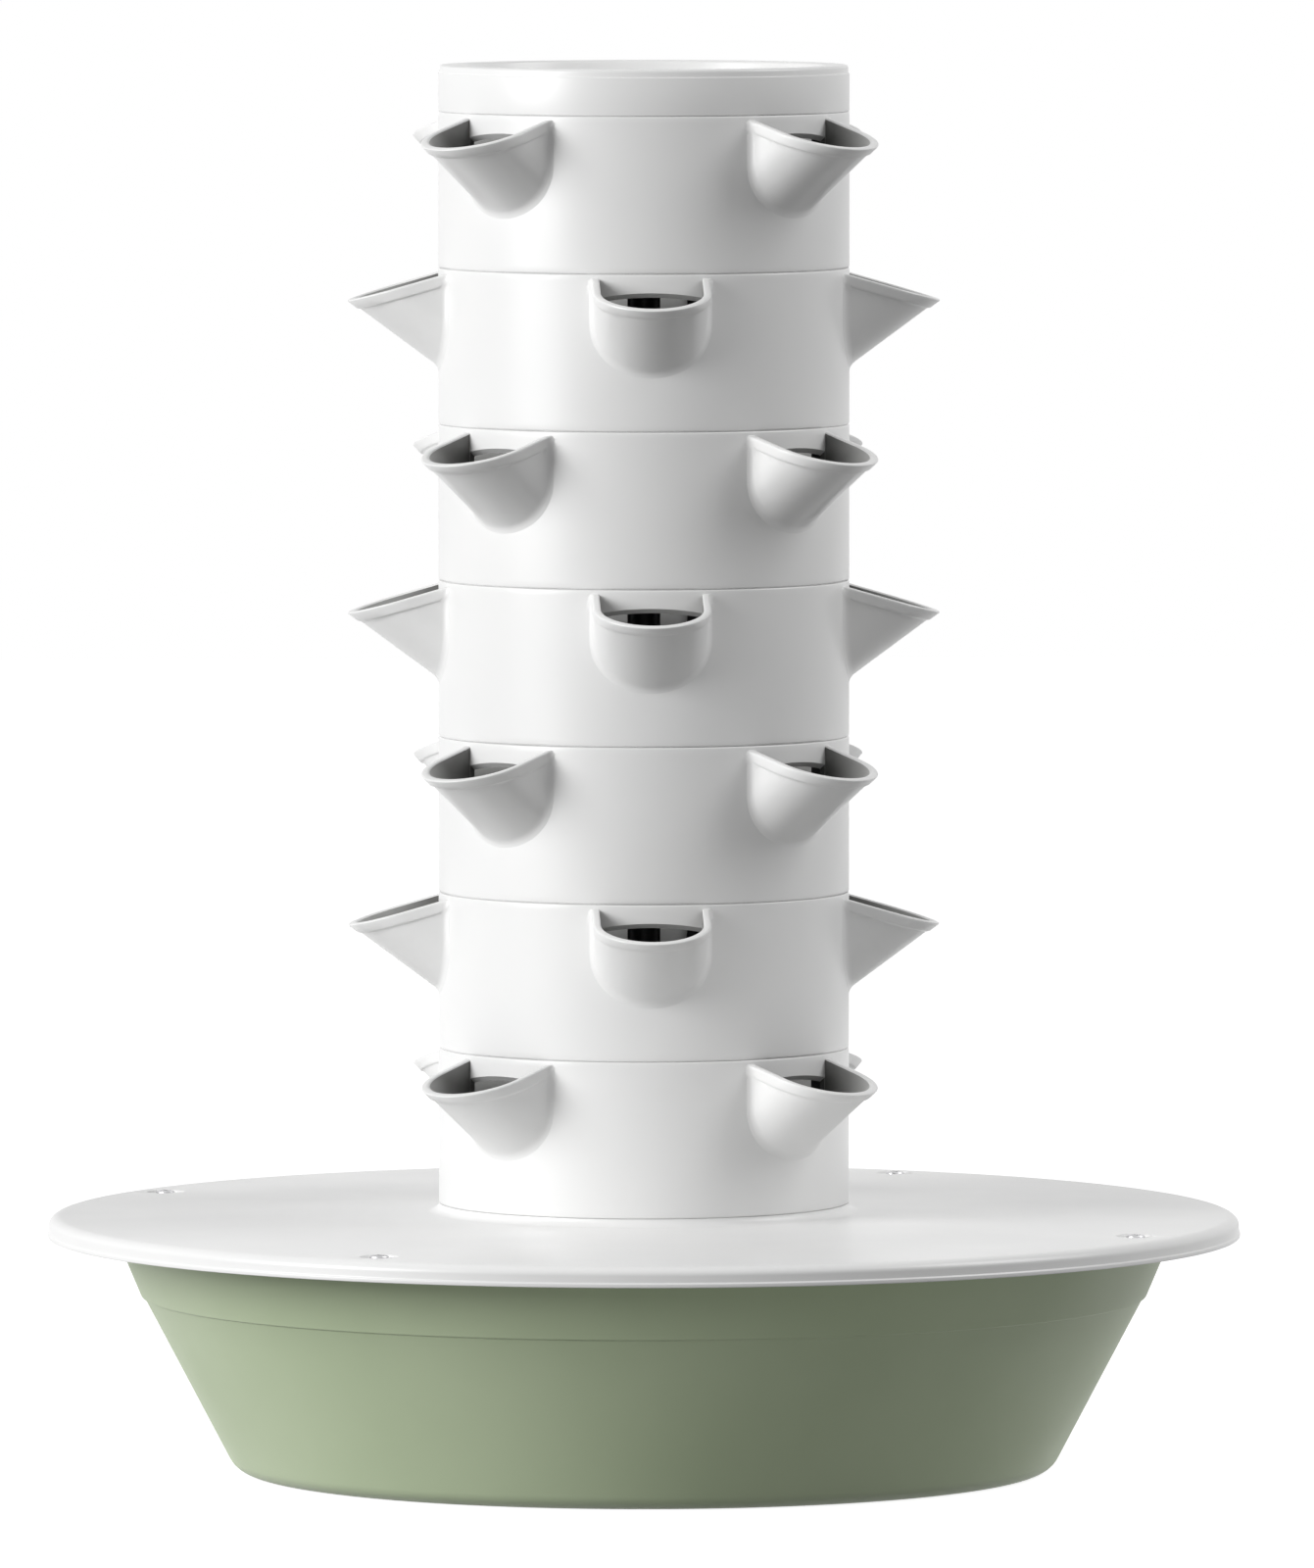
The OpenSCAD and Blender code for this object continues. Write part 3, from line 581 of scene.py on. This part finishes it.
# Half the width, the depth of the round bottom and the height of the straight sides, in mm
OUTER, INNER = (27.6, 22.0, 18.5), (24.8, 19.2, 17.9)
MOUTH_DROP, POCKET_DROP = 3.0, 48.0
AXIS_DROP = POCKET_DROP - OUTER[1] / RUN
FOOT_R = 98.5
FILLET = 2.6
LIP, LIP_DEPTH, LIP_STEP = 0.8, 6.4, 1.2
RIM_OUT, RIM_IN = 1.2, 1.0
ARC_STEPS, SIDE_STEPS = 40, 8
JUST_OFF = 0.06
FILLET_ROWS = (JUST_OFF, 0.3, 0.7, 1.2, 1.9, FILLET)
LIP_ROWS = (LIP_DEPTH + LIP_STEP, LIP_DEPTH + 0.8, LIP_DEPTH + 0.4, LIP_DEPTH)
RIM_TURNS = [math.radians(turn) for turn in (0, 22, 45, 68, 90)]
OUTSIDE_ROWS, INSIDE_ROWS = 14, 8
print("pocket slopes", round(math.degrees(TILT), 1), "degrees")


# %% Places in a pocket
def mouth_s(n):
    """How far along the slope the mouth is, for a line n above the pocket's centre line."""
    return (AXIS_DROP - MOUTH_DROP - n * (RUN - MOUTH_SLOPE * RISE)) / (RISE + MOUTH_SLOPE * RUN)


def wall_s(x, n, radius):
    """How far along the slope that line is a radius from the column's axis."""
    return (math.sqrt(radius * radius - x * x) - COLUMN_R + RISE * n) / RUN


def at(x, n, s):
    """A point of a pocket that faces the front, in mm from the tier's foot."""
    return Vector((x, -(COLUMN_R + RUN * s - RISE * n), TIER_H - AXIS_DROP + RISE * s + RUN * n))


# %% Outline and offsets of a pocket
def u_line(half, round_bottom, top, sides=SIDE_STEPS, steps=ARC_STEPS):
    """Points (x, n, outward x, outward n) down one side, round the bottom and up the other side."""
    left = [(-half, top * (1 - i / sides), -1.0, 0.0) for i in range(sides)]
    right = [(half, top * (i + 1) / sides, 1.0, 0.0) for i in range(sides)]
    bottom = []
    for i in range(steps + 1):
        a = math.pi + math.pi * i / steps
        across = Vector((round_bottom * math.cos(a), half * math.sin(a))).normalized()
        bottom.append((half * math.cos(a), round_bottom * math.sin(a), across.x, across.y))
    return left + bottom + right


def lip_offset(depth):
    """How far the outside stands out at a depth below the mouth: a lip with a rounded top edge."""
    grown = min(max((LIP_DEPTH + LIP_STEP - depth) / LIP_STEP, 0), 1)
    stands = LIP * grown * grown * (3 - 2 * grown)
    if depth < RIM_OUT:
        stands -= RIM_OUT - math.sqrt(RIM_OUT ** 2 - (RIM_OUT - depth) ** 2)
    return stands


def fillet_shift(point, x_out, n_out):
    """How a point on the outside moves along the column's face to make the fillet."""
    away = math.hypot(point.x, point.y) - COLUMN_R
    if away > FILLET:
        return Vector()
    out = Vector((x_out, RISE * n_out, RUN * n_out))
    radial = Vector((point.x, point.y, 0)).normalized()
    along = out - radial * out.dot(radial)
    reach = FILLET - math.sqrt(FILLET ** 2 - (FILLET - max(away, JUST_OFF)) ** 2)
    return along.normalized() * reach


# %% One loop of a pocket's wall
def cup_column(outer, inner):
    """The loop of points over one place on the U: up the outside, over the rim, down the inside."""
    points = []
    x, n, x_out, n_out = outer
    low, top = wall_s(x, n, FOOT_R), mouth_s(n)
    stops = [wall_s(x, n, COLUMN_R + d) for d in FILLET_ROWS]
    stops += [low + (top - low) * i / OUTSIDE_ROWS for i in range(1, OUTSIDE_ROWS)]
    stops += [top - d for d in LIP_ROWS]
    stops += [top - RIM_OUT * (1 - math.sin(turn)) for turn in RIM_TURNS]
    for s in sorted(min(max(stop, low), top) for stop in [low] + stops):
        depth = top - s
        far = lip_offset(depth)
        moved_n = n + n_out * far
        point = at(x + x_out * far, moved_n, mouth_s(moved_n) - depth)
        points.append(point + fillet_shift(point, x_out, n_out))
    x, n, x_out, n_out = inner
    low, top = wall_s(x, n, FOOT_R), mouth_s(n)
    stops = [top - RIM_IN * (1 - math.sin(turn)) for turn in RIM_TURNS]
    stops += [low + (top - low) * i / INSIDE_ROWS for i in range(INSIDE_ROWS)]
    for s in sorted((min(max(stop, low), top) for stop in stops), reverse=True):
        depth = top - s
        far = 0.0
        if depth < RIM_IN:
            far = RIM_IN - math.sqrt(RIM_IN ** 2 - (RIM_IN - depth) ** 2)
        moved_n = n + n_out * far
        points.append(at(x + x_out * far, moved_n, mouth_s(moved_n) - depth))
    return points


# %% Rows of faces, four pockets round
def extruded_rows(bm, columns, loop=False):
    """Faces through columns of points: a wire is extruded row by row, each vertex put in place."""
    row = [bm.verts.new(column[0] * MM) for column in columns]
    pairs = list(zip(row, row[1:] + row[:1])) if loop else list(zip(row, row[1:]))
    edges = [bm.edges.new(pair) for pair in pairs]
    first = edges
    for r in range(1, len(columns[0])):
        made = bmesh.ops.extrude_edge_only(bm, edges=edges)["geom"]
        fresh = {v for v in made if isinstance(v, bmesh.types.BMVert)}
        row = [next(e.other_vert(v) for e in v.link_edges if e.other_vert(v) in fresh)
               for v in row]
        for vert, column in zip(row, columns):
            vert.co = column[r] * MM
        edges = [e for e in made if isinstance(e, bmesh.types.BMEdge)
                 and e.verts[0] in fresh and e.verts[1] in fresh]
    return first, edges


def four_round(bm):
    """Three more copies of what is in the bmesh, a quarter turn apart."""
    bmesh.ops.spin(bm, geom=bm.verts[:] + bm.edges[:] + bm.faces[:], cent=(0, 0, 0),
                   axis=(0, 0, 1), angle=FULL_TURN * 3 / 4, steps=3, use_duplicate=True)
    return bm


def pocket_cups():
    """The four cups of a tier, closed, with their inner ends inside the column's wall."""
    bm = bmesh.new()
    columns = [cup_column(o, i) for o, i in zip(u_line(*OUTER), u_line(*INNER))]
    first, last = extruded_rows(bm, columns)
    bmesh.ops.bridge_loops(bm, edges=first + last)
    bmesh.ops.holes_fill(bm, edges=[e for e in bm.edges if e.is_boundary])
    bmesh.ops.recalc_face_normals(bm, faces=bm.faces)
    return four_round(bm)


# %% [markdown]
# The way from a pocket into the column is a window through the tube: the roots hang through it.
# It stops below the mouth, so the upper part of the pocket has the tube itself for its back wall,
# as the picture shows. A straight prism of the scoop's own outline cuts it.

# %% Pocket windows
WINDOW_TOP = 9.35
WINDOW_INSET = 0.15
WINDOW_FROM, WINDOW_TO = -26.0, 30.0


def pocket_windows():
    """The four prisms that cut the windows of a tier."""
    half, round_bottom, _ = INNER
    line = u_line(half - WINDOW_INSET, round_bottom - WINDOW_INSET, WINDOW_TOP, sides=3)
    bm = bmesh.new()
    columns = [[at(x, n, WINDOW_FROM), at(x, n, WINDOW_TO)] for x, n, _, _ in line]
    ends = extruded_rows(bm, columns, loop=True)
    for edges in ends:
        bmesh.ops.edgeloop_fill(bm, edges=edges)
    bmesh.ops.recalc_face_normals(bm, faces=bm.faces)
    return four_round(bm)


# %% One tier
tier_bm = combined(tier_shell(), pocket_cups(), "UNION")
tier_bm = combined(tier_bm, pocket_windows(), "DIFFERENCE")
bmesh.ops.dissolve_degenerate(tier_bm, edges=tier_bm.edges, dist=MERGE * MM)
print("tier", len(tier_bm.faces), "faces, open edges",
      sum(not e.is_manifold for e in tier_bm.edges))

# %% [markdown]
# Each face of a tier gets one of three finishes: the outside is white, the column's inside has the
# dark liner, and the pockets' inner walls have a darker plastic with painted shade. The faces could
# be picked by hand in the editor, but a rule that looks at each face's place still holds when a
# size changes.

# %% Three finishes on a tier
LINER_MARGIN, WALL_MARGIN = 0.4, 0.8
LOOKS_OUT, LOOKS_IN = 0.7, -0.3
OUTSIDE, LINER, POCKET = 0, 1, 2


def in_a_pocket(face):
    """Whether a face of the tier is part of a pocket's inner wall, below its rounded rim."""
    middle = face.calc_center_median() / MM
    outward = Vector((middle.x, middle.y, 0)).normalized()
    if face.normal.dot(outward) > LOOKS_OUT or middle.xy.length < COLUMN_IN_R + LINER_MARGIN:
        return False
    quarter = FULL_TURN / 4 * round(math.atan2(middle.x, -middle.y) / (FULL_TURN / 4))
    local = Matrix.Rotation(-quarter, 3, "Z") @ middle
    out, up = -local.y - COLUMN_R, local.z - TIER_H + AXIS_DROP
    n = RUN * up - RISE * out
    s = RUN * out + RISE * up
    wide, deep = INNER[0] + WALL_MARGIN, INNER[1] + WALL_MARGIN
    inside = abs(local.x) < wide if n > 0 else (local.x / wide) ** 2 + (n / deep) ** 2 < 1
    return inside and mouth_s(n) - s > RIM_IN


def inside_column(face):
    """Whether a face of the tier is on the column's inner wall."""
    middle = face.calc_center_median()
    radius = math.hypot(middle.x, middle.y)
    inwards = face.normal.x * middle.x + face.normal.y * middle.y < LOOKS_IN * radius
    return radius < (COLUMN_IN_R + LINER_MARGIN) * MM and inwards


for face in tier_bm.faces:
    face.material_index = (POCKET if in_a_pocket(face) else LINER if inside_column(face)
                           else OUTSIDE)
print("faces in pockets:", sum(face.material_index == POCKET for face in tier_bm.faces))

# %% [markdown]
# The seven tiers come from one mould, so one mesh serves them all. Linked copies that are turned
# and lifted as objects would be the usual way, but each piece here keeps its place in its mesh, so
# every copy is moved there. Every second tier, from the lowest, is turned by half a pocket.

# %% Seven tiers
COLLAR_TOP, TIERS = 131.0, 7
for tier in range(1, TIERS + 1):
    half_step = Matrix.Rotation(FULL_TURN / 8 if tier % 2 else 0.0, 3, "Z")
    foot_z = COLLAR_TOP + TIER_H * (tier - 1)
    copy = tier_bm.copy()
    bmesh.ops.rotate(copy, verts=copy.verts, cent=(0, 0, 0), matrix=half_step)
    bmesh.ops.translate(copy, verts=copy.verts, vec=(0, 0, foot_z * MM))
    piece(f"tier_shell_{tier}", copy, f"tier_{tier}", "white_plastic", [f"tier_{tier}"],
          white_plastic, column_liner, pocket_inside_painted_shade)
tier_bm.free()

# %% [markdown]
# ## Places of the screws
# The screws hold the lid to the basin's flange, so both pieces need their places. A small part is
# made at the centre and moved there, and parts that don't touch go into one bmesh, so that a
# single Boolean joins or cuts them all.

# %% Places of the screws
SCREW_PCR, SCREW_TURNS = 268.0, (-30, 60, 150, 240)


def screw_places():
    """Where the screws stand: (x, y) in mm, for turns from the front."""
    turns = [math.radians(turn - 90) for turn in SCREW_TURNS]
    return [(SCREW_PCR * math.cos(a), SCREW_PCR * math.sin(a)) for a in turns]


def moved(bm, x, y):
    """The bmesh, moved sideways by x and y in mm."""
    bmesh.ops.translate(bm, verts=bm.verts, vec=(x * MM, y * MM, 0))
    return bm


def joined(parts):
    """Several bmeshes as one; they must not overlap."""
    whole = bmesh.new()
    for part in parts:
        mesh = bpy.data.meshes.new("part")
        part.to_mesh(mesh)
        part.free()
        whole.from_mesh(mesh)
        bpy.data.meshes.remove(mesh)
    return whole


# %% [markdown]
# ## Basin
# The basin is a wide bowl with a cone for its side, a small step near its top and a flat flange
# that carries the lid. It could be a cone thickened by a Solidify modifier, but one turned section
# that draws both faces of the wall also gives the foot its rounding inside and out. Four short
# bosses under the flange give the lid's screws something to bite into, and each is bored through.

# %% Basin section
BASE_R, FOOT_ROUND, SIDE_LEAN, BASIN_T = 190.84, 13.0, -27.78, 3.0
STEP_Z, STEP_R, STEP_OUT = 86.0, 244.0, 1.2
NECK_R, FLANGE_R, FLANGE_Z, FLANGE_TOP = 258.5, 284.0, 117.5, 121.0
WIDE_STEPS = 320
foot = arc(BASE_R, FOOT_ROUND, FOOT_ROUND, FOOT_ROUND, -90, SIDE_LEAN)
foot_inside = arc(BASE_R, FOOT_ROUND, FOOT_ROUND - BASIN_T, FOOT_ROUND - BASIN_T, SIDE_LEAN, -90)
step_and_flange = [
    (STEP_R, STEP_Z, 0.8), (STEP_R + STEP_OUT, STEP_Z, 0.6), (NECK_R, FLANGE_Z, 2.5),
    (FLANGE_R, FLANGE_Z, 1.0), (FLANGE_R, FLANGE_TOP, 0.8), (NECK_R - BASIN_T, FLANGE_TOP, 0.8)]
neck_inside = [(NECK_R - BASIN_T, FLANGE_Z), (STEP_R + STEP_OUT - BASIN_T, STEP_Z),
               (STEP_R - BASIN_T, STEP_Z)]
basin_bm = turned(outline([(0, 0)] + foot + step_and_flange + neck_inside + foot_inside
                          + [(0, BASIN_T)]), WIDE_STEPS)
print("basin section turned,", len(basin_bm.faces), "faces")

# %% Bosses and bores
BOSS_R, BOSS_H, SCREW_BORE_R = 6.0, 2.0, 2.05
SUNK, CUTS_PAST = 0.6, 9.0
BOSS_STEPS, BORE_STEPS = 48, 32


def rod(radius, low, high, steps, rounding=None):
    """A round rod at the centre; its lower edge can be rounded."""
    low_corner = (radius, low) if rounding is None else (radius, low, rounding)
    return turned(outline([(0, low), low_corner, (radius, high), (0, high)]), steps)


bosses = [moved(rod(BOSS_R, FLANGE_Z - BOSS_H, FLANGE_Z + SUNK, BOSS_STEPS, 0.5), x, y)
          for x, y in screw_places()]
bores = [moved(rod(SCREW_BORE_R, FLANGE_Z - CUTS_PAST, FLANGE_TOP + CUTS_PAST, BORE_STEPS), x, y)
         for x, y in screw_places()]
basin_bm = combined(combined(basin_bm, joined(bosses), "UNION"), joined(bores), "DIFFERENCE")
piece("basin_shell", basin_bm, "base", "sage_plastic", ["basin"], sage_plastic)

# %% [markdown]
# ## Lid
# The lid falls slightly from its centre to a rounded edge, with a short skirt below and a bead at
# the skirt's foot that catches the light. Its centre rises in a flared collar that the lowest tier
# stands in. Four shallow round seats hold the screws, and a hole at the back holds the grommet.
# Each seat's cutter is a plug with a flared top and a shaft below, so it sinks the seat and bores
# the hole at once. Eight ribs run outwards below the plate, as such a wide, thin lid needs.

# %% Lid section
LID_TOP, LID_FALL, PLATE_Z = 127.0, 1.9, 122.2
FLARE_R, FLARE_WIDE, LID_MID_R, LID_FLAT_R = 105.5, 5.5, 200.0, 284.0
EDGE_WIDE, EDGE_HIGH = 6.3, 4.6
BEAD_R, BEAD_OUT, BEAD_TOP, BEAD_FULL_Z = 290.9, 0.6, 117.4, 116.8
SKIRT_IN_R, SKIRT_FOOT = 288.0, 115.0
RING_R, RING_IN_R, RING_FOOT, RING_TOP = 100.0, 88.0, 119.6, 122.6


def lid_z(radius):
    """The height of the lid's top face, which falls from the collar to the edge."""
    return LID_TOP - LID_FALL * (radius - FLARE_R) / (LID_FLAT_R - FLARE_R)


collar = [(COLUMN_IN_R, COLLAR_TOP, 0.5)]
collar += arc(FLARE_R, COLLAR_TOP, FLARE_WIDE, COLLAR_TOP - LID_TOP, 180, 270)
edge = arc(LID_FLAT_R, LID_TOP - LID_FALL - EDGE_HIGH, EDGE_WIDE, EDGE_HIGH, 90, 0)
skirt = [(BEAD_R - BEAD_OUT, BEAD_TOP, 0.3), (BEAD_R, BEAD_FULL_Z, 0.3), (BEAD_R, SKIRT_FOOT, 0.5),
         (SKIRT_IN_R, SKIRT_FOOT, 0.5), (SKIRT_IN_R, PLATE_Z, 0.8)]
ring = [(RING_R, PLATE_Z), (RING_R, RING_FOOT), (RING_IN_R, RING_FOOT, 0.5),
        (RING_IN_R, RING_TOP, 0.5), (COLUMN_IN_R, RING_TOP)]
lid_bm = turned(outline(collar + [(LID_MID_R, lid_z(LID_MID_R))] + edge + skirt + ring),
                WIDE_STEPS)
print("lid section turned,", len(lid_bm.faces), "faces")

# %% Seats
SEAT_R, SEAT_DROP, SCREW_HOLE_R, SEAT_ROUND = 9.0, 1.2, 2.4, 0.7
GROMMET_Y, GROMMET_SEAT_R, GROMMET_HOLE_R, GROMMET_SEAT_ROUND = 230.0, 12.0, 8.05, 0.5
CUTS_ABOVE, SEAT_STEPS = 3.0, 64


def seat_cutter(radius, hole, low, high, rounding):
    """A plug with a flared top edge over a thinner shaft, for a round seat with a through hole."""
    shaft = [(0, low - CUTS_PAST), (hole, low - CUTS_PAST), (hole, low)]
    flare = arc(radius + rounding, high - rounding, rounding, rounding, 180, 90, 5)[1:]
    above = [(radius + rounding, high + CUTS_ABOVE), (0, high + CUTS_ABOVE)]
    return turned(outline(shaft + [(radius, low, rounding), (radius, high - rounding)] + flare
                          + above), SEAT_STEPS)


seat_top, grommet_top = lid_z(SCREW_PCR), lid_z(GROMMET_Y)
seats = [moved(seat_cutter(SEAT_R, SCREW_HOLE_R, seat_top - SEAT_DROP, seat_top, SEAT_ROUND), x, y)
         for x, y in screw_places()]
seats.append(moved(seat_cutter(GROMMET_SEAT_R, GROMMET_HOLE_R, grommet_top - SEAT_DROP,
                               grommet_top, GROMMET_SEAT_ROUND), 0, GROMMET_Y))
print(len(seats), "seats")

# %% Ribs and the whole lid
RIB_COUNT, RIB_FROM, RIB_TO, RIB_T, RIB_H, RIB_ROUND = 8, 99.5, 252.0, 2.4, 5.0, 0.6


def rib(turn):
    """A flat bar under the lid's plate with a rounded lower edge, turned from the right."""
    bm = bmesh.new()
    bmesh.ops.create_cube(bm, size=MM)
    bmesh.ops.scale(bm, verts=bm.verts, vec=(RIB_TO - RIB_FROM, RIB_T, RIB_H + SUNK))
    bmesh.ops.translate(bm, verts=bm.verts, vec=((RIB_TO + RIB_FROM) / 2 * MM, 0,
                                                 (PLATE_Z - (RIB_H - SUNK) / 2) * MM))
    low = [e for e in bm.edges if all(v.co.z < (PLATE_Z - RIB_H / 2) * MM for v in e.verts)]
    bmesh.ops.bevel(bm, geom=low, offset=RIB_ROUND * MM, segments=3, profile=0.5,
                    affect="EDGES", material=-1)
    bmesh.ops.rotate(bm, verts=bm.verts, cent=(0, 0, 0), matrix=Matrix.Rotation(turn, 3, "Z"))
    return bm


ribs = joined([rib(FULL_TURN * (i + 0.5) / RIB_COUNT) for i in range(RIB_COUNT)])
lid_bm = combined(combined(lid_bm, ribs, "UNION"), joined(seats), "DIFFERENCE")
print("lid open edges", sum(not e.is_manifold for e in lid_bm.edges))
piece("lid_shell", lid_bm, "base", "white_plastic", ["lid"], white_plastic)

# %% [markdown]
# ## Screws and grommet
# The screws are stainless pan heads with a cross recess. A head could come from a ready-made bolt
# generator, but a turned section and two crossing cutters need no add-on and keep its true size.
# The grommet is one ring of rubber with a groove round its waist that the lid's edge snaps into.

# %% Screws
HEAD_R, HEAD_H, SHANK_R, SHANK_LEN = 4.6, 1.8, 2.0, 10.0
RECESS_LONG, RECESS_WIDE, RECESS_DEEP = 5.4, 1.0, 0.9
RECESS_TURNS = [math.radians(turn) for turn in (20, 110)]
SCREW_STEPS = 48
HEAD_Z = seat_top - SEAT_DROP


def slot_cutter(turn):
    """A bar across the screw's head, for one arm of its recess."""
    bm = bmesh.new()
    bmesh.ops.create_cube(bm, size=MM)
    bmesh.ops.scale(bm, verts=bm.verts, vec=(RECESS_LONG, RECESS_WIDE, 2 * RECESS_DEEP))
    bmesh.ops.translate(bm, verts=bm.verts, vec=(0, 0, (HEAD_Z + HEAD_H) * MM))
    bmesh.ops.rotate(bm, verts=bm.verts, cent=(0, 0, 0), matrix=Matrix.Rotation(turn, 3, "Z"))
    return bm


def screw(x, y):
    """A screw with its head in its seat, at a place on the lid."""
    shank = [(0, HEAD_Z - SHANK_LEN), (SHANK_R, HEAD_Z - SHANK_LEN, 0.5), (SHANK_R, HEAD_Z)]
    head = [(HEAD_R, HEAD_Z, 0.2), (HEAD_R, HEAD_Z + HEAD_H, 1.0), (0, HEAD_Z + HEAD_H)]
    bm = turned(outline(shank + head), SCREW_STEPS)
    for turn in RECESS_TURNS:
        bm = combined(bm, slot_cutter(turn), "DIFFERENCE")
    return moved(bm, x, y)


piece("turned_screws", joined([screw(x, y) for x, y in screw_places()]), "base", "screw_steel",
      ["lid_screws"], screw_steel)

# %% Grommet
GROMMET_R, GROMMET_WAIST_R, GROMMET_BORE_R, GROMMET_FLANGE_T = 11.0, 8.0, 4.5, 1.8
GROMMET_SEAT_Z, GROMMET_STEPS = grommet_top - SEAT_DROP, 96
GROMMET_LOW, GROMMET_HIGH = PLATE_Z - GROMMET_FLANGE_T, GROMMET_SEAT_Z + GROMMET_FLANGE_T
grommet_bm = turned(outline(
    [(GROMMET_BORE_R, GROMMET_LOW, 0.6), (GROMMET_R, GROMMET_LOW, 0.8), (GROMMET_R, PLATE_Z, 0.4),
     (GROMMET_WAIST_R, PLATE_Z), (GROMMET_WAIST_R, GROMMET_SEAT_Z),
     (GROMMET_R, GROMMET_SEAT_Z, 0.4), (GROMMET_R, GROMMET_HIGH, 0.9),
     (GROMMET_BORE_R, GROMMET_HIGH, 0.7)]), GROMMET_STEPS)
piece("grommet_ring", moved(grommet_bm, 0, GROMMET_Y), "base", "black_rubber", ["cable_grommet"],
      black_rubber)

# %% [markdown]
# ## Cap
# The cap closes the top tier with a spigot like a tier's own. It is a shallow dish with a rounded
# rim, and a bar across the dish to lift it by. It could be lifted by a knob, but a low bar stays
# below the rim, and the picture shows nothing above it. The bar is a cube with its edges bevelled.

# %% Cap
CAP_Z, CAP_TOP, CAP_T = COLLAR_TOP + TIERS * TIER_H, 685.5, 2.5
RIM_Z, RIM_R, DISH_R, DISH_FLAT_R, DISH_Z = 681.7, 99.4, 88.0, 86.0, 675.0
cap_outside = [
    (SPIGOT_IN_R, CAP_Z - SPIGOT_H, SPIGOT_IN_ROUND), (SPIGOT_R, CAP_Z - SPIGOT_H, SPIGOT_ROUND),
    (SPIGOT_R, CAP_Z), (COLUMN_R, CAP_Z, 0.7), (COLUMN_R, RIM_Z, 0.4), (RIM_R, RIM_Z),
    (RIM_R, CAP_TOP, 1.4), (DISH_R, CAP_TOP, 1.2), (DISH_FLAT_R, DISH_Z, 2.0), (0, DISH_Z)]
cap_inside = [
    (0, DISH_Z - CAP_T), (DISH_R + 0.5, DISH_Z - CAP_T), (DISH_R + 2, CAP_TOP - CAP_T),
    (COLUMN_IN_R, CAP_TOP - CAP_T), (COLUMN_IN_R, CAP_Z + LEDGE_H), (SPIGOT_IN_R, CAP_Z)]
cap_bm = turned(outline(cap_outside + cap_inside), COLUMN_STEPS)
print("cap section turned,", len(cap_bm.faces), "faces")

# %% Bar across the dish
BAR_LONG, BAR_THICK, BAR_Z, BAR_ROUND = 76, 9, 678.5, 2.2
bar_bm = bmesh.new()
bmesh.ops.create_cube(bar_bm, size=MM)
bmesh.ops.scale(bar_bm, verts=bar_bm.verts, vec=(BAR_LONG, BAR_THICK, BAR_THICK))
bmesh.ops.translate(bar_bm, verts=bar_bm.verts, vec=(0, 0, BAR_Z * MM))
bmesh.ops.bevel(bar_bm, geom=bar_bm.edges[:], offset=BAR_ROUND * MM, segments=4, profile=0.5,
                affect="EDGES", material=-1)
cap_bm = combined(cap_bm, bar_bm, "UNION")
piece("cap_shell", cap_bm, "cap", "white_plastic", ["top_cap"], white_plastic)

# %% [markdown]
# ## CAD parts that keep their shape
# The parts inside the tower already have their true shapes in the CAD model. They could be built
# again, but only their finish is missing, so each gets a material in its own slot.

# %% Finishes on CAD parts
FINISH = {"lid_gasket": black_rubber,
          "pump_housing": pump_plastic, "pump_cover": pump_plastic, "pump_filter": filter_foam,
          "pump_impeller": rotor_plastic, "pump_shaft": ceramic, "pump_feet": black_rubber,
          "pump_outlet": pump_plastic, "riser_pipe_lower": pipe_plastic,
          "riser_coupler": pipe_plastic, "riser_pipe_upper": pipe_plastic,
          "spray_disc": disc_plastic}
for name, finish in FINISH.items():
    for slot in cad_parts[name].material_slots:
        slot.material = finish
print(len(FINISH), "CAD parts finished")
